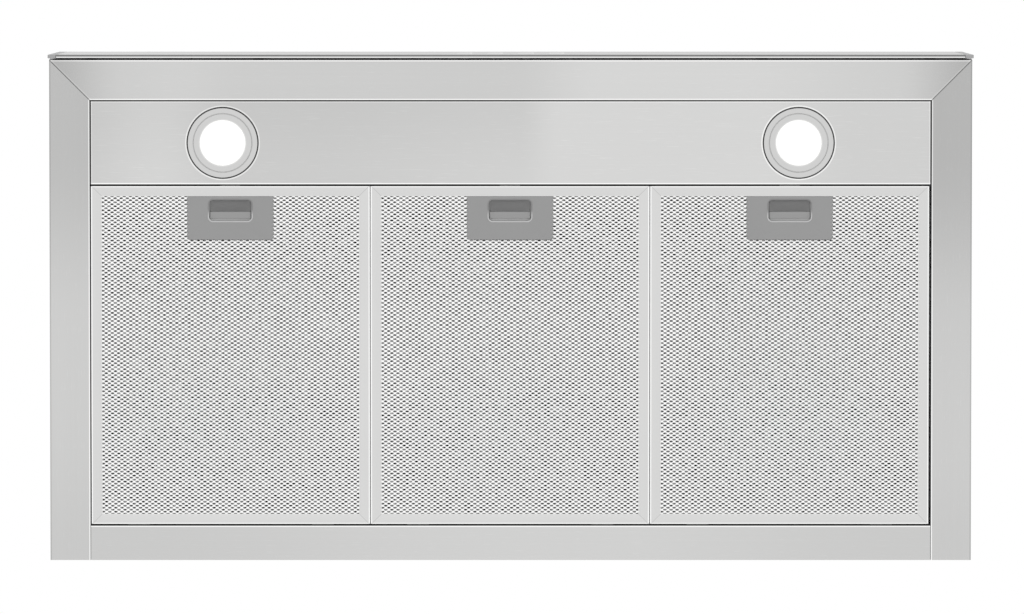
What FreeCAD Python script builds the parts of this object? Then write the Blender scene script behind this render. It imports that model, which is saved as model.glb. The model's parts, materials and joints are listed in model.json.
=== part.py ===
import FreeCAD, Part
import math
import operator
import os
from types import SimpleNamespace

import Sketcher
from FreeCAD import Placement, Rotation, Vector

# Range hood insert: a stainless rim with a light panel and three mesh filters, seen from below,
# under a blower box with a duct collar. +X right, +Y to the rear, +Z up, millimetres.
# The origin is the middle of the underside: the rim stands on z = 0.

SIZES = {
    # rim
    "rim_width": 900,
    "rim_depth": 490,
    "rim_height": 50,
    "rail_sheet": 1,
    "rail_width": 39.5,
    "rear_rail_width": 34,
    "rail_return": 18,
    "top_flange": 20,
    "mitre_gap": 0.2,
    # fascia in front of the front rail
    "fascia_depth": 3.5,
    "fascia_gap": 1.5,
    "fascia_sheet": 1,
    "fascia_overhang": 1.5,
    "end_cap_width": 8,
    "end_cap_spigot": 6,
    "end_cap_rake": 9.5,
    "spacer_radius": 5,
    "spacer_inset": 40,
    # push buttons
    "button_radius": 7,
    "button_pitch": 30,
    "button_inset": 0.2,
    "button_travel": 2,
    "button_clearance": 0.2,
    "button_window_gap": 0.8,
    "button_flange": 1.4,
    "button_stem_radius": 2.5,
    "button_stem_length": 2.5,
    "guide_wall": 1.4,
    "guide_margin": 8,
    "guide_ear_margin": 1,
    "guide_depth": 12,
    "board_sheet": 1.6,
    "board_recess": 1,
    # light panel
    "panel_depth": 82.5,
    "panel_sheet": 1,
    "panel_lift": 1,
    "panel_return": 12,
    "panel_screw_rise": 7.2,
    "seam_gap": 0.8,
    # lamps
    "lamp_spacing": 562,
    "bezel_radius": 34.5,
    "bezel_thickness": 0.9,
    "lens_radius": 25.5,
    "lens_window": 22.5,
    "lens_thickness": 2,
    "sleeve_wall": 2,
    "sleeve_height": 9,
    "lamp_hole_clearance": 0.5,
    "heat_sink_height": 22,
    "heat_sink_core": 14,
    "fin_sheet": 1.6,
    "fin_count": 6,
    "clip_width": 12,
    "clip_reach": 12,
    "clip_sheet": 0.8,
    "clip_height": 14,
    # filters
    "filter_end_gap_left": 1.3,
    "filter_end_gap_right": 2.6,
    "filter_spacing": 1.6,
    "filter_front_gap": 1.1,
    "filter_rear_gap": 1.2,
    "filter_lift": 0.3,
    "filter_height": 9,
    "filter_sheet": 0.8,
    "filter_border": 10.2,
    "mesh_thickness": 0.8,
    "media_thickness": 3,
    "layer_gap": 0.1,
    "tab_width": 22,
    "tab_reach": 6,
    "tab_spacing": 180,
    # filter latches
    "latch_width": 83.5,
    "latch_depth": 42.3,
    "latch_plate": 1.3,
    "latch_wall": 1.2,
    "latch_corner": 3,
    "window_width": 41.5,
    "window_depth": 20.5,
    "window_inset": 3.6,
    "window_corner": 4,
    "dish_depth": 11.4,
    "dish_height": 4,
    "dish_wall": 1,
    "lip_depth": 6.6,
    "slider_width": 56,
    "slider_sheet": 1.2,
    "slider_lift": 0.8,
    "slider_clearance": 0.2,
    "slider_land": 2,
    "tongue_width": 20,
    "tongue_catch": 1.4,
    "tongue_slot_gap": 1,
    "keeper_gap": 2,
    "spring_radius": 2.3,
    "spring_wall": 0.5,
    # canopy pan and blower box
    "pan_sheet": 0.8,
    "pan_inset": 2,
    "box_width": 400,
    "box_depth": 300,
    "box_height": 232,
    "box_sheet": 0.8,
    "box_flange": 14,
    "air_opening_inset": 14,
    # scroll
    "impeller_radius": 85,
    "impeller_width": 100,
    "impeller_gap": 8,
    "scroll_growth": 14,
    "scroll_sheet": 1,
    "scroll_width": 120,
    "scroll_clearance": 6,
    "scroll_front_gap": 8,
    "cutoff_offset": 40,
    "cutoff_radius": 10,
    "blade_inner_radius": 68,
    "blade_sheet": 1.2,
    "blade_count": 36,
    "blade_lean": 3.75,
    "impeller_disc": 2,
    "hub_radius": 14,
    "hub_length": 16,
    "hub_step": 1,
    "shaft_radius": 5,
    "shaft_clearance": 0.05,
    "motor_radius": 50,
    "motor_length": 68,
    "motor_end": 12,
    "rotor_radius": 27,
    "rotor_gap": 0.5,
    "inlet_radius": 62,
    "inlet_flange": 12,
    "guard_wire": 1.2,
    "guard_step": 13,
    "guard_rings": 4,
    "guard_stand": 7.2,
    # duct collar
    "duct_radius": 75,
    "duct_wall": 1,
    "duct_height": 45,
    "duct_flange": 14,
    "duct_lip": 3,
    "flap_sheet": 1.2,
    "flap_clearance": 1.5,
    "flap_pin_radius": 1.5,
    "flap_pin_offset": 5,
    # boxes on the pan
    "control_box_length": 120,
    "control_box_width": 90,
    "control_box_height": 38,
    "junction_length": 100,
    "junction_width": 64,
    "junction_height": 44,
    "gland_radius": 10,
    "gland_bore": 4.5,
    "gland_length": 24,
    "gland_nut": 4,
    "gland_flange": 3,
    # brackets and screws
    "bracket_sheet": 2,
    "bracket_length": 300,
    "bracket_foot": 16,
    "bracket_height": 42,
    "bracket_hole_radius": 3.25,
    "bracket_hole_spacing": 240,
    "bracket_hole_rise": 25.2,
    "screw_radius": 2,
    "screw_clearance": 0.15,
    "screw_head_radius": 3.5,
    "screw_head_height": 2.2,
    "screw_length": 6,
}


class Size:
    """A size of the sheet, or a sum of several, kept as its expression and its number."""

    def __init__(self, text, number):
        self.text = text
        self.number = number

    def join(self, sign, act, other, turned=False):
        other = as_size(other)
        first, last = (other, self) if turned else (self, other)
        return Size(f"({first.text} {sign} {last.text})", act(first.number, last.number))

    def __add__(self, other):
        return self.join("+", operator.add, other)

    def __radd__(self, other):
        return self.join("+", operator.add, other, True)

    def __sub__(self, other):
        return self.join("-", operator.sub, other)

    def __rsub__(self, other):
        return self.join("-", operator.sub, other, True)

    def __mul__(self, other):
        return self.join("*", operator.mul, other)

    def __rmul__(self, other):
        return self.join("*", operator.mul, other, True)

    def __truediv__(self, other):
        return self.join("/", operator.truediv, other)

    def __neg__(self):
        return self.join("*", operator.mul, -1)


def as_size(item):
    return item if isinstance(item, Size) else Size(repr(item), item)


doc = FreeCAD.newDocument("range_hood_insert")
sheet = doc.addObject("Spreadsheet::Sheet", "Sizes")
for row, (alias, number) in enumerate(SIZES.items(), start=1):
    sheet.set(f"A{row}", str(number))
    sheet.setAlias(f"A{row}", alias)
doc.recompute()
s = SimpleNamespace(**{alias: Size(f"Sizes.{alias}", number) for alias, number in SIZES.items()})
ZERO = as_size(0)
PIECES = []

# How far a cutting block passes the face that it opens.
PAST = 1

# Rows of fasteners, as shares of the length that each row is spread over, and the buttons in pitches.
PAN_ROW = (-0.7, -0.25, 0.25, 0.7)
PAN_SIDE_SHARE = 0.45
BOX_ROW = (-0.7, 0.7)
BRACKET_ROW = (-0.3, 0.3)
SPACER_ROW = (-1, -0.6, -0.3, 0.3, 0.6, 1)
PANEL_ROW = (-0.9, -0.33, 0.33, 0.9)
BUTTON_ROW = (-1.5, -0.5, 0.5, 1.5)


# ---- drawing helpers ----

def bind(item, prop, size):
    item.setExpression(prop, as_size(size).text)


def place(item, x=None, y=None, z=None):
    for axis, size in (("x", x), ("y", y), ("z", z)):
        if size is not None:
            bind(item, f".Placement.Base.{axis}", size)
    return item


def box(x, y, z):
    """A block between two corners: x, y and z are each a pair, low and high."""
    item = doc.addObject("Part::Box", "Block")
    bind(item, "Length", as_size(x[1]) - x[0])
    bind(item, "Width", as_size(y[1]) - y[0])
    bind(item, "Height", as_size(z[1]) - z[0])
    return place(item, x[0], y[0], z[0])


TURNS = {
    "x": Rotation(Vector(0, 1, 0), 90),
    "y": Rotation(Vector(1, 0, 0), -90),
    "z": Rotation(),
}


def rod(axis, centre, span, radius):
    """A cylinder along an axis: centre is its place on the other two, in x, y, z order."""
    item = doc.addObject("Part::Cylinder", "Rod")
    bind(item, "Radius", radius)
    bind(item, "Height", as_size(span[1]) - span[0])
    item.Placement = Placement(Vector(), TURNS[axis])
    spots = dict(zip([a for a in "xyz" if a != axis], centre))
    return place(item, **{axis: span[0], **spots})


def fuse(*items):
    item = doc.addObject("Part::MultiFuse", "Joined")
    item.Shapes = list(items)
    return item


def cut(base, *tools):
    item = doc.addObject("Part::Cut", "Holed")
    item.Base = base
    item.Tool = tools[0] if len(tools) == 1 else fuse(*tools)
    return item


def ring(axis, centre, span, outer, inner):
    return cut(rod(axis, centre, span, outer), rod(axis, centre, span, inner))


def group(*items):
    item = doc.addObject("Part::Compound", "Group")
    item.Links = list(items)
    return item


def piece(label, item):
    item.Label = label
    PIECES.append(item)
    return item


def solid(label, shape, x):
    """A sub-part whose shape is worked out here from the sheet's numbers, then set at its x."""
    item = doc.addObject("Part::Feature", "Formed")
    item.Shape = shape
    item.Placement = Placement(Vector(x.number, 0, 0), Rotation())
    return piece(label, item)


def sketch(body, plane, points=(), circles=(), offset=ZERO, centre=None):
    """A closed outline through points, and circles, on one of the body's own origin planes."""
    drawing = body.newObject("Sketcher::SketchObject", "Outline")
    origin = [f for f in body.Origin.OriginFeatures if f.Role == plane][0]
    drawing.AttachmentSupport = [(origin, "")]
    drawing.MapMode = "FlatFace"
    bind(drawing, ".AttachmentOffset.Base.z", offset)
    if centre:
        bind(drawing, ".AttachmentOffset.Base.x", centre[0])
        bind(drawing, ".AttachmentOffset.Base.y", centre[1])
    spots = [Vector(as_size(x).number, as_size(y).number, 0) for x, y in points]
    for i, spot in enumerate(spots):
        drawing.addGeometry(Part.LineSegment(spot, spots[(i + 1) % len(spots)]))
    for i, (x, y) in enumerate(points):
        after = (i + 1) % len(points)
        drawing.addConstraint(Sketcher.Constraint("Coincident", i, 2, after, 1))
        for kind, size in (("DistanceX", x), ("DistanceY", y)):
            size = as_size(size)
            at = drawing.addConstraint(Sketcher.Constraint(kind, -1, 1, i, 1, size.number))
            drawing.setExpression(f"Constraints[{at}]", size.text)
    for x, y, radius in circles:
        middle = Vector(as_size(x).number, as_size(y).number, 0)
        at = drawing.addGeometry(Part.Circle(middle, Vector(0, 0, 1), as_size(radius).number))
        for kind, size in (("DistanceX", x), ("DistanceY", y)):
            size = as_size(size)
            rule = drawing.addConstraint(Sketcher.Constraint(kind, -1, 1, at, 3, size.number))
            drawing.setExpression(f"Constraints[{rule}]", size.text)
        radius = as_size(radius)
        rule = drawing.addConstraint(Sketcher.Constraint("Radius", at, radius.number))
        drawing.setExpression(f"Constraints[{rule}]", radius.text)
    return drawing


def feature(body, kind, profile, length=None, **settings):
    """A pad or a pocket of the profile, of a length, or through everything both ways."""
    item = body.newObject(f"PartDesign::{kind}", kind)
    item.Profile = profile
    if length is None:
        item.Type = "ThroughAll"
        item.Midplane = True
    else:
        bind(item, "Length", length)
    for name, setting in settings.items():
        setattr(item, name, setting)
    body.Tip = item
    return item


# ---- layout, worked out from the sheet ----

half_width = s.rim_width / 2
front_face = -(s.rim_depth + s.fascia_gap + s.fascia_depth) / 2
rear_face = -front_face
rim_front = front_face + s.fascia_depth + s.fascia_gap
rail_inner = half_width - s.rail_width
front_rail_edge = rim_front + s.rail_width
rear_rail_edge = rear_face - s.rear_rail_width
panel_front = front_rail_edge + s.seam_gap
panel_rear = front_rail_edge + s.panel_depth
panel_side = rail_inner - s.seam_gap
panel_top = s.panel_lift + s.panel_sheet
lamp_y = (panel_front + panel_rear) / 2

filter_row = 2 * rail_inner - s.filter_end_gap_left - s.filter_end_gap_right
filter_width = (filter_row - 2 * s.filter_spacing) / 3
filter_front = panel_rear + s.filter_front_gap
filter_rear = rear_rail_edge - s.filter_rear_gap
filter_top = s.filter_lift + s.filter_height
mesh_low = s.filter_lift + s.filter_sheet
mesh_high = mesh_low + s.mesh_thickness
media_low = mesh_high + s.layer_gap

latch_front = filter_front + s.filter_border + s.layer_gap
latch_rear = latch_front + s.latch_depth
latch_top = filter_top - s.filter_sheet - s.layer_gap
plate_top = s.filter_lift + s.latch_plate
slider_low = plate_top + s.slider_lift
slider_high = slider_low + s.slider_sheet
window_front = latch_front + s.window_inset
window_rear = window_front + s.window_depth

pan_low = s.rim_height
pan_top = pan_low + s.pan_sheet
box_top = pan_top + s.box_height
roof_top = box_top + s.box_sheet
box_side = s.box_width / 2
box_front = -s.box_depth / 2
box_rear = s.box_depth / 2

# The volute is three quarter arcs about the corners of a small square, each larger by the growth.
first_arc = s.impeller_radius + s.impeller_gap + s.scroll_growth / 2
scroll_low = first_arc + s.scroll_growth + s.scroll_growth / 2
scroll_left = first_arc + s.scroll_growth / 2
scroll_right = first_arc + 2 * s.scroll_growth + s.scroll_growth / 2
fan_y = box_front + s.scroll_front_gap + scroll_left
fan_z = pan_top + s.scroll_clearance + scroll_low
duct_y = fan_y + (s.cutoff_offset + scroll_right) / 2
scroll_half = s.scroll_width / 2
screw_hole = s.screw_radius + s.screw_clearance


# ---- screws: one node of separate solids, and the holes that they pass through ----

SCREWS = []


def screw(axis, centre, seat, outward, length=s.screw_length):
    """A pan head screw whose head stands on the seat; outward is 1 or -1 along the axis."""
    head_end = seat + outward * s.screw_head_height
    shank_end = seat - outward * length
    head = (seat, head_end) if outward > 0 else (head_end, seat)
    shank = (shank_end, seat) if outward > 0 else (seat, shank_end)
    parts = rod(axis, centre, head, s.screw_head_radius), rod(axis, centre, shank, s.screw_radius)
    SCREWS.append(fuse(*parts))


def pan_screw_places():
    """Places where the pan is screwed to the rim's top flanges."""
    side = half_width - s.top_flange / 2 - s.pan_inset
    front = rim_front + s.top_flange / 2 + s.pan_inset
    rear = rear_face - s.top_flange / 2 - s.pan_inset
    places = [(side * share, y) for y in (front, rear) for share in PAN_ROW]
    return places + [(x, y * PAN_SIDE_SHARE) for x in (-side, side) for y in (front, rear)]


def box_screw_places():
    """Places where the blower box's foot flanges are screwed to the pan."""
    out = s.box_flange / 2
    places = [(box_side * share, y) for share in BOX_ROW for y in (box_front - out, box_rear + out)]
    return places + [(x, ZERO) for x in (-box_side - out, box_side + out)]


def bracket_screw_places():
    """Places where the mounting brackets' feet are screwed to the pan."""
    x = half_width - s.top_flange - s.bracket_foot / 2 - 2 * s.pan_inset
    return [(side * x, s.bracket_length * share) for side in (-1, 1) for share in BRACKET_ROW]


def roof_screw_places():
    """Places where the top panel is screwed to the walls' head flanges."""
    x = box_side - s.box_flange / 2 - s.box_sheet
    y = box_rear - s.box_flange / 2 - s.box_sheet
    return [(side * x, end * y) for side in (-1, 1) for end in (-1, 1)]


def collar_screw_places():
    """Places where the duct collar's flange is screwed to the top panel, on its diagonals."""
    reach = (s.duct_radius + s.duct_flange / 2) * math.sqrt(0.5)
    return [(side * reach, duct_y + end * reach) for side in (-1, 1) for end in (-1, 1)]


def holes(places, low, high):
    return [rod("z", at, (low, high), screw_hole) for at in places]


# ---- rim ----

def rail_section(edge, inner, top):
    """Half-open channel: outer wall, underside, a return up the inner edge and a top flange."""
    t = s.rail_sheet if inner.number > edge.number else -s.rail_sheet
    flange = s.top_flange if inner.number > edge.number else -s.top_flange
    return [
        (edge, ZERO),
        (inner, ZERO),
        (inner, s.rail_return),
        (inner - t, s.rail_return),
        (inner - t, s.rail_sheet),
        (edge + t, s.rail_sheet),
        (edge + t, top - s.rail_sheet),
        (edge + flange, top - s.rail_sheet),
        (edge + flange, top),
        (edge, top),
    ]


def mitre_wedge(side, keep_front):
    """A wedge that leaves one side of the 45 degree mitre line of a front corner."""
    gap = s.mitre_gap / 2
    reach = s.rail_width * 2
    out = (side * half_width, rim_front)
    into = (side * (half_width - reach), rim_front + reach)
    if keep_front:
        return [
            (out[0] + side * reach, out[1] - gap - reach),
            (into[0], into[1] - gap),
            (into[0] + side * 3 * reach, into[1] - gap),
        ]
    return [
        (out[0] + side * reach, out[1] + gap - reach),
        (into[0], into[1] + gap),
        (into[0], out[1] + gap - reach),
    ]


def front_rail():
    body = doc.addObject("PartDesign::Body", "FrontRail")
    section = rail_section(rim_front, front_rail_edge, s.rim_height)
    feature(body, "Pad", sketch(body, "YZ_Plane", section, offset=-half_width), s.rim_width)
    for side in (-1, 1):
        feature(body, "Pocket", sketch(body, "XY_Plane", mitre_wedge(side, True)))
    window = guide_half() - s.guide_margin + s.button_window_gap
    tall = s.button_radius + s.button_window_gap
    middle = s.rim_height / 2
    wall = (rim_front - PAST, rim_front + s.rail_sheet + PAST)
    lip = (front_rail_edge - 2 * s.rail_sheet, front_rail_edge + PAST)
    tools = [box((-window, window), wall, (middle - tall, middle + tall))]
    tools += holes(pan_screw_places(), s.rim_height - 2 * s.rail_sheet, s.rim_height + PAST)
    tools += [rod("y", at, wall, screw_hole) for at in spacer_places() + guide_screw_places()]
    tools += [rod("y", at, lip, screw_hole) for at in panel_screw_places()]
    piece("front_rail", cut(body, *tools))


def side_rail(side, label):
    body = doc.addObject("PartDesign::Body", "SideRail")
    section = rail_section(side * half_width, side * rail_inner, s.rim_height)
    feature(body, "Pad", sketch(body, "XZ_Plane", section, offset=-rear_face), s.rim_depth)
    feature(body, "Pocket", sketch(body, "XY_Plane", mitre_wedge(side, False)))
    across = ordered(side * half_width, side * rail_inner)
    end = box(across, (rear_face - s.rail_sheet, rear_face), (ZERO, s.rim_height))
    tools = holes(pan_screw_places(), s.rim_height - 2 * s.rail_sheet, s.rim_height + PAST)
    piece(label, cut(fuse(body, end), *tools))


def rear_rail():
    """The rear rail has no return: the filters' tabs rest on its bare inner edge."""
    end = rail_inner - s.mitre_gap
    t = s.rail_sheet
    body = doc.addObject("PartDesign::Body", "RearRail")
    section = [
        (rear_face, ZERO),
        (rear_face, s.rim_height),
        (rear_face - s.top_flange, s.rim_height),
        (rear_face - s.top_flange, s.rim_height - t),
        (rear_face - t, s.rim_height - t),
        (rear_face - t, t),
        (rear_rail_edge, t),
        (rear_rail_edge, ZERO),
    ]
    feature(body, "Pad", sketch(body, "YZ_Plane", section, offset=-end), 2 * end)
    tools = holes(pan_screw_places(), s.rim_height - 2 * t, s.rim_height + PAST)
    piece("rear_rail", cut(body, *tools))


# ---- fascia and its buttons ----

def spacer_places():
    """Spacers between the fascia and the front rail, at mid height."""
    reach = half_width - s.spacer_inset
    return [(reach * share, s.rim_height / 2) for share in SPACER_ROW]


def button_places():
    return [(s.button_pitch * step, s.rim_height / 2) for step in BUTTON_ROW]


def guide_half():
    return s.button_pitch * BUTTON_ROW[-1] + s.button_radius + s.guide_margin


def guide_screw_places():
    reach = guide_half() + s.screw_head_radius + s.guide_ear_margin
    return [(side * reach, s.rim_height / 2) for side in (-1, 1)]


def panel_screw_places():
    """Screws through the front rail's return into the light panel's front return."""
    z = panel_top + s.panel_screw_rise
    return [(rail_inner * share, z) for share in PANEL_ROW]


def raked(rake, x, z):
    """A block's outline whose two ends lean inwards by the rake over the rim's height."""
    corners = [(x[0], z[0]), (x[1], z[0]), (x[1], z[1]), (x[0], z[1])]
    return [(across - rake * up / s.rim_height, up) for across, up in corners]


def fascia():
    """Channel with raked ends, and a cap on each end that follows the rake and plugs into the channel."""
    t = s.fascia_sheet
    top = s.rim_height
    end = half_width + s.fascia_overhang - s.end_cap_width
    back = front_face + s.fascia_depth
    body = doc.addObject("PartDesign::Body", "Fascia")
    section = [
        (front_face, ZERO),
        (back, ZERO),
        (back, t),
        (front_face + t, t),
        (front_face + t, top - t),
        (back, top - t),
        (back, top),
        (front_face, top),
    ]
    feature(body, "Pad", sketch(body, "YZ_Plane", section, offset=-end), 2 * end)
    for side in (-1, 1):
        foot, head, out = side * end, side * (end - s.end_cap_rake), side * (end + PAST)
        beyond = [(foot, ZERO), (head, top), (head, top + PAST), (out, top + PAST), (out, ZERO)]
        feature(body, "Pocket", sketch(body, "XZ_Plane", beyond))
    hole = s.button_radius + s.button_clearance
    tools = [rod("y", at, (front_face - PAST, front_face + t + PAST), hole) for at in button_places()]
    piece("front_fascia", cut(body, *tools))

    caps = []
    plug_low = t + s.layer_gap
    plug_high = top - t - s.layer_gap
    for side in (-1, 1):
        outer = side * (half_width + s.fascia_overhang)
        inner = side * (end + s.layer_gap)
        tip = side * (end - s.end_cap_spigot)
        cap = doc.addObject("PartDesign::Body", "EndCap")
        rake = side * s.end_cap_rake
        block = raked(rake, (outer, inner), (ZERO, top))
        feature(cap, "Pad", sketch(cap, "XZ_Plane", block, offset=-back), s.fascia_depth)
        plug = raked(rake, (outer, tip), (plug_low, plug_high))
        feature(cap, "Pad", sketch(cap, "XZ_Plane", plug, offset=-back), s.fascia_depth - t - s.layer_gap)
        caps.append(cap)
    piece("fascia_end_caps", group(*caps))

    gap = (front_face + t, rim_front)
    spacers = [ring("y", at, gap, s.spacer_radius, screw_hole) for at in spacer_places()]
    piece("fascia_spacers", group(*spacers))


def ordered(a, b):
    a, b = as_size(a), as_size(b)
    return (a, b) if a.number < b.number else (b, a)


def buttons():
    front = front_face + s.button_inset
    guide_front = rim_front + s.rail_sheet
    flange = guide_front + s.guide_wall + s.layer_gap
    stem = flange + s.button_flange
    names = ("power_button", "low_button", "high_button", "light_button")
    for label, at in zip(names, button_places()):
        piece(label, fuse(
            rod("y", at, (front, flange), s.button_radius),
            rod("y", at, (flange, stem), s.button_radius + s.button_flange),
            rod("y", at, (stem, stem + s.button_stem_length), s.button_stem_radius),
        ))

    wide = guide_half()
    middle = s.rim_height / 2
    tall = s.button_radius + s.button_flange + s.guide_margin / 2
    back = guide_front + s.guide_depth
    w = s.guide_wall
    ear = wide + 2 * (s.screw_head_radius + s.guide_ear_margin)
    wall = (guide_front, guide_front + w)
    through = (guide_front - PAST, guide_front + w + PAST)
    shell = cut(
        fuse(
            box((-wide, wide), (guide_front, back), (middle - tall, middle + tall)),
            box((-ear, ear), wall, (middle - s.button_radius, middle + s.button_radius)),
        ),
        box((-wide + w, wide - w), (guide_front + w, back + PAST), (middle - tall + w, middle + tall - w)),
        *[rod("y", at, through, s.button_radius + s.shaft_clearance) for at in button_places()],
        *[rod("y", at, through, screw_hole) for at in guide_screw_places()],
    )
    piece("button_guide", shell)
    for at in guide_screw_places():
        screw("y", at, rim_front, -1)

    board_back = back - s.board_recess
    board_front = board_back - s.board_sheet
    nub_front = stem + s.button_stem_length + s.button_travel + s.button_clearance
    half_wide = wide - w - s.layer_gap
    half_tall = tall - w - s.layer_gap
    plate = box((-half_wide, half_wide), (board_front, board_back), (middle - half_tall, middle + half_tall))
    keys = []
    for x, z in button_places():
        half = s.button_stem_radius
        keys.append(box((x - half, x + half), (nub_front, board_front), (z - half, z + half)))
    piece("switch_board", fuse(plate, *keys))


# ---- light panel and lamps ----

def latch_centres():
    first = -rail_inner + s.filter_end_gap_left + filter_width / 2
    return [first + step * (filter_width + s.filter_spacing) for step in range(3)]


def light_panel():
    t = s.panel_sheet
    top = panel_top + s.panel_return
    lamp_hole = s.lens_radius + s.sleeve_wall + s.lamp_hole_clearance
    corner = t + s.layer_gap
    walls = [
        box((-panel_side, panel_side), (panel_front, panel_rear), (s.panel_lift, panel_top)),
        box((-panel_side, panel_side), (panel_front, panel_front + t), (panel_top, top)),
        box((-panel_side, panel_side), (panel_rear - t, panel_rear), (panel_top, top)),
        box((-panel_side, -panel_side + t), (panel_front + corner, panel_rear - corner), (panel_top, top)),
        box((panel_side - t, panel_side), (panel_front + corner, panel_rear - corner), (panel_top, top)),
    ]
    tools = []
    for x in lamp_places():
        tools.append(rod("z", (x, lamp_y), (s.panel_lift - PAST, panel_top + PAST), lamp_hole))
    keeper = s.tongue_width / 2 + s.keeper_gap
    for x in latch_centres():
        slot = (slider_low - s.slider_clearance, slider_high + 3 * s.slider_clearance)
        tools.append(box((x - keeper, x + keeper), (panel_rear - t - PAST, panel_rear + PAST), slot))
    for at in panel_screw_places():
        tools.append(rod("y", at, (panel_front - PAST, panel_front + t + PAST), screw_hole))
        screw("y", at, front_rail_edge - s.rail_sheet, -1)
    piece("light_panel", cut(fuse(*walls), *tools))


def lamp_places():
    return (-s.lamp_spacing / 2, s.lamp_spacing / 2)


def lamps():
    clips = []
    low = s.panel_lift - s.bezel_thickness
    sleeve = s.lens_radius + s.sleeve_wall
    lens_low = s.panel_lift + s.layer_gap / 2
    lens_high = lens_low + s.lens_thickness
    top = s.sleeve_height + s.heat_sink_height
    inside = s.lens_radius - s.layer_gap
    for label, x in zip(("left_lamp", "right_lamp"), lamp_places()):
        at = (x, lamp_y)
        piece(f"{label}_bezel", fuse(
            ring("z", at, (low, s.panel_lift), s.bezel_radius, s.lens_window),
            ring("z", at, (s.panel_lift, s.sleeve_height), sleeve, s.lens_radius),
        ))
        piece(f"{label}_lens", rod("z", at, (lens_low, lens_high), inside))
        fins = []
        for step in range(round(s.fin_count.number)):
            fin = box((-inside, inside), (-s.fin_sheet / 2, s.fin_sheet / 2), (s.sleeve_height, top))
            turned = doc.addObject("Part::Compound", "Fin")
            turned.Links = [fin]
            turned.Placement = Placement(Vector(), Rotation(Vector(0, 0, 1), 180 / s.fin_count.number * step))
            fins.append(place(turned, x, lamp_y))
        piece(f"{label}_body", fuse(
            rod("z", at, (lens_high + s.layer_gap, s.sleeve_height), inside),
            rod("z", at, (s.sleeve_height, top), s.heat_sink_core),
            *fins,
        ))
        for side in (-1, 1):
            near = x + side * (sleeve + s.layer_gap)
            thick = near + side * s.clip_sheet
            far = near + side * s.clip_reach
            across = (lamp_y - s.clip_width / 2, lamp_y + s.clip_width / 2)
            foot_low = panel_top + s.layer_gap
            wall = box(ordered(near, thick), across, (foot_low, s.clip_height))
            foot = box(ordered(near, far), across, (foot_low, foot_low + s.clip_sheet))
            clips.append(fuse(wall, foot))
    piece("lamp_clips", group(*clips))


# ---- filters and their latches ----

def filter_frame(name, x):
    t = s.filter_sheet
    half = filter_width / 2
    border = s.filter_border
    slot = s.tongue_width / 2 + s.tongue_slot_gap
    outer = box((x - half, x + half), (filter_front, filter_rear), (s.filter_lift, filter_top))
    tabs = []
    for side in (-1, 1):
        middle = x + side * s.tab_spacing / 2
        tabs.append(box(
            (middle - s.tab_width / 2, middle + s.tab_width / 2),
            (filter_rear - t, filter_rear + s.filter_rear_gap + s.tab_reach),
            (s.rail_sheet, s.rail_sheet + t),
        ))
    tools = [
        box((x - half + t, x + half - t), (filter_front + t, filter_rear - t), (mesh_low, filter_top - t)),
        box((x - half + border, x + half - border), (filter_front + border, filter_rear - border),
            (s.filter_lift - PAST, filter_top + PAST)),
        box((x - slot, x + slot), (filter_front - PAST, filter_front + t + PAST),
            (slider_low - s.slider_clearance, slider_high + s.slider_clearance)),
    ]
    piece(f"{name}_filter_frame", fuse(cut(outer, *tools), *tabs))


def filter_layers(name, x):
    """The mesh face and the pad of mesh layers behind it, both notched for the latch."""
    half = filter_width / 2 - s.filter_sheet - s.layer_gap
    front = filter_front + s.filter_sheet + s.layer_gap
    rear = filter_rear - s.filter_sheet - s.layer_gap
    notch_half = s.latch_width / 2 + s.layer_gap
    for part, low, high in (
        ("mesh", mesh_low, mesh_high),
        ("media", media_low, media_low + s.media_thickness),
    ):
        body = doc.addObject("PartDesign::Body", "Layer")
        outline = [
            (x - half, front),
            (x - notch_half, front),
            (x - notch_half, latch_rear + s.layer_gap),
            (x + notch_half, latch_rear + s.layer_gap),
            (x + notch_half, front),
            (x + half, front),
            (x + half, rear),
            (x - half, rear),
        ]
        feature(body, "Pad", sketch(body, "XY_Plane", outline, offset=low), high - low)
        piece(f"{name}_filter_{part}", body)


def rounded(x, y, z, radius, corners):
    """A block whose upright corners named by their signs (x, y) are rounded."""
    parts = [box(x, y, z)]
    for sx, sy in corners:
        edge_x, edge_y = (x[1] if sx > 0 else x[0]), (y[1] if sy > 0 else y[0])
        centre = (edge_x - sx * radius, edge_y - sy * radius)
        out_x = ordered(centre[0], edge_x + sx * PAST)
        out_y = ordered(centre[1], edge_y + sy * PAST)
        keep = rod("z", centre, (z[0] - 2 * PAST, z[1] + 2 * PAST), radius)
        parts.append(cut(box(out_x, out_y, (z[0] - PAST, z[1] + PAST)), keep))
    return cut(*parts)


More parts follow.
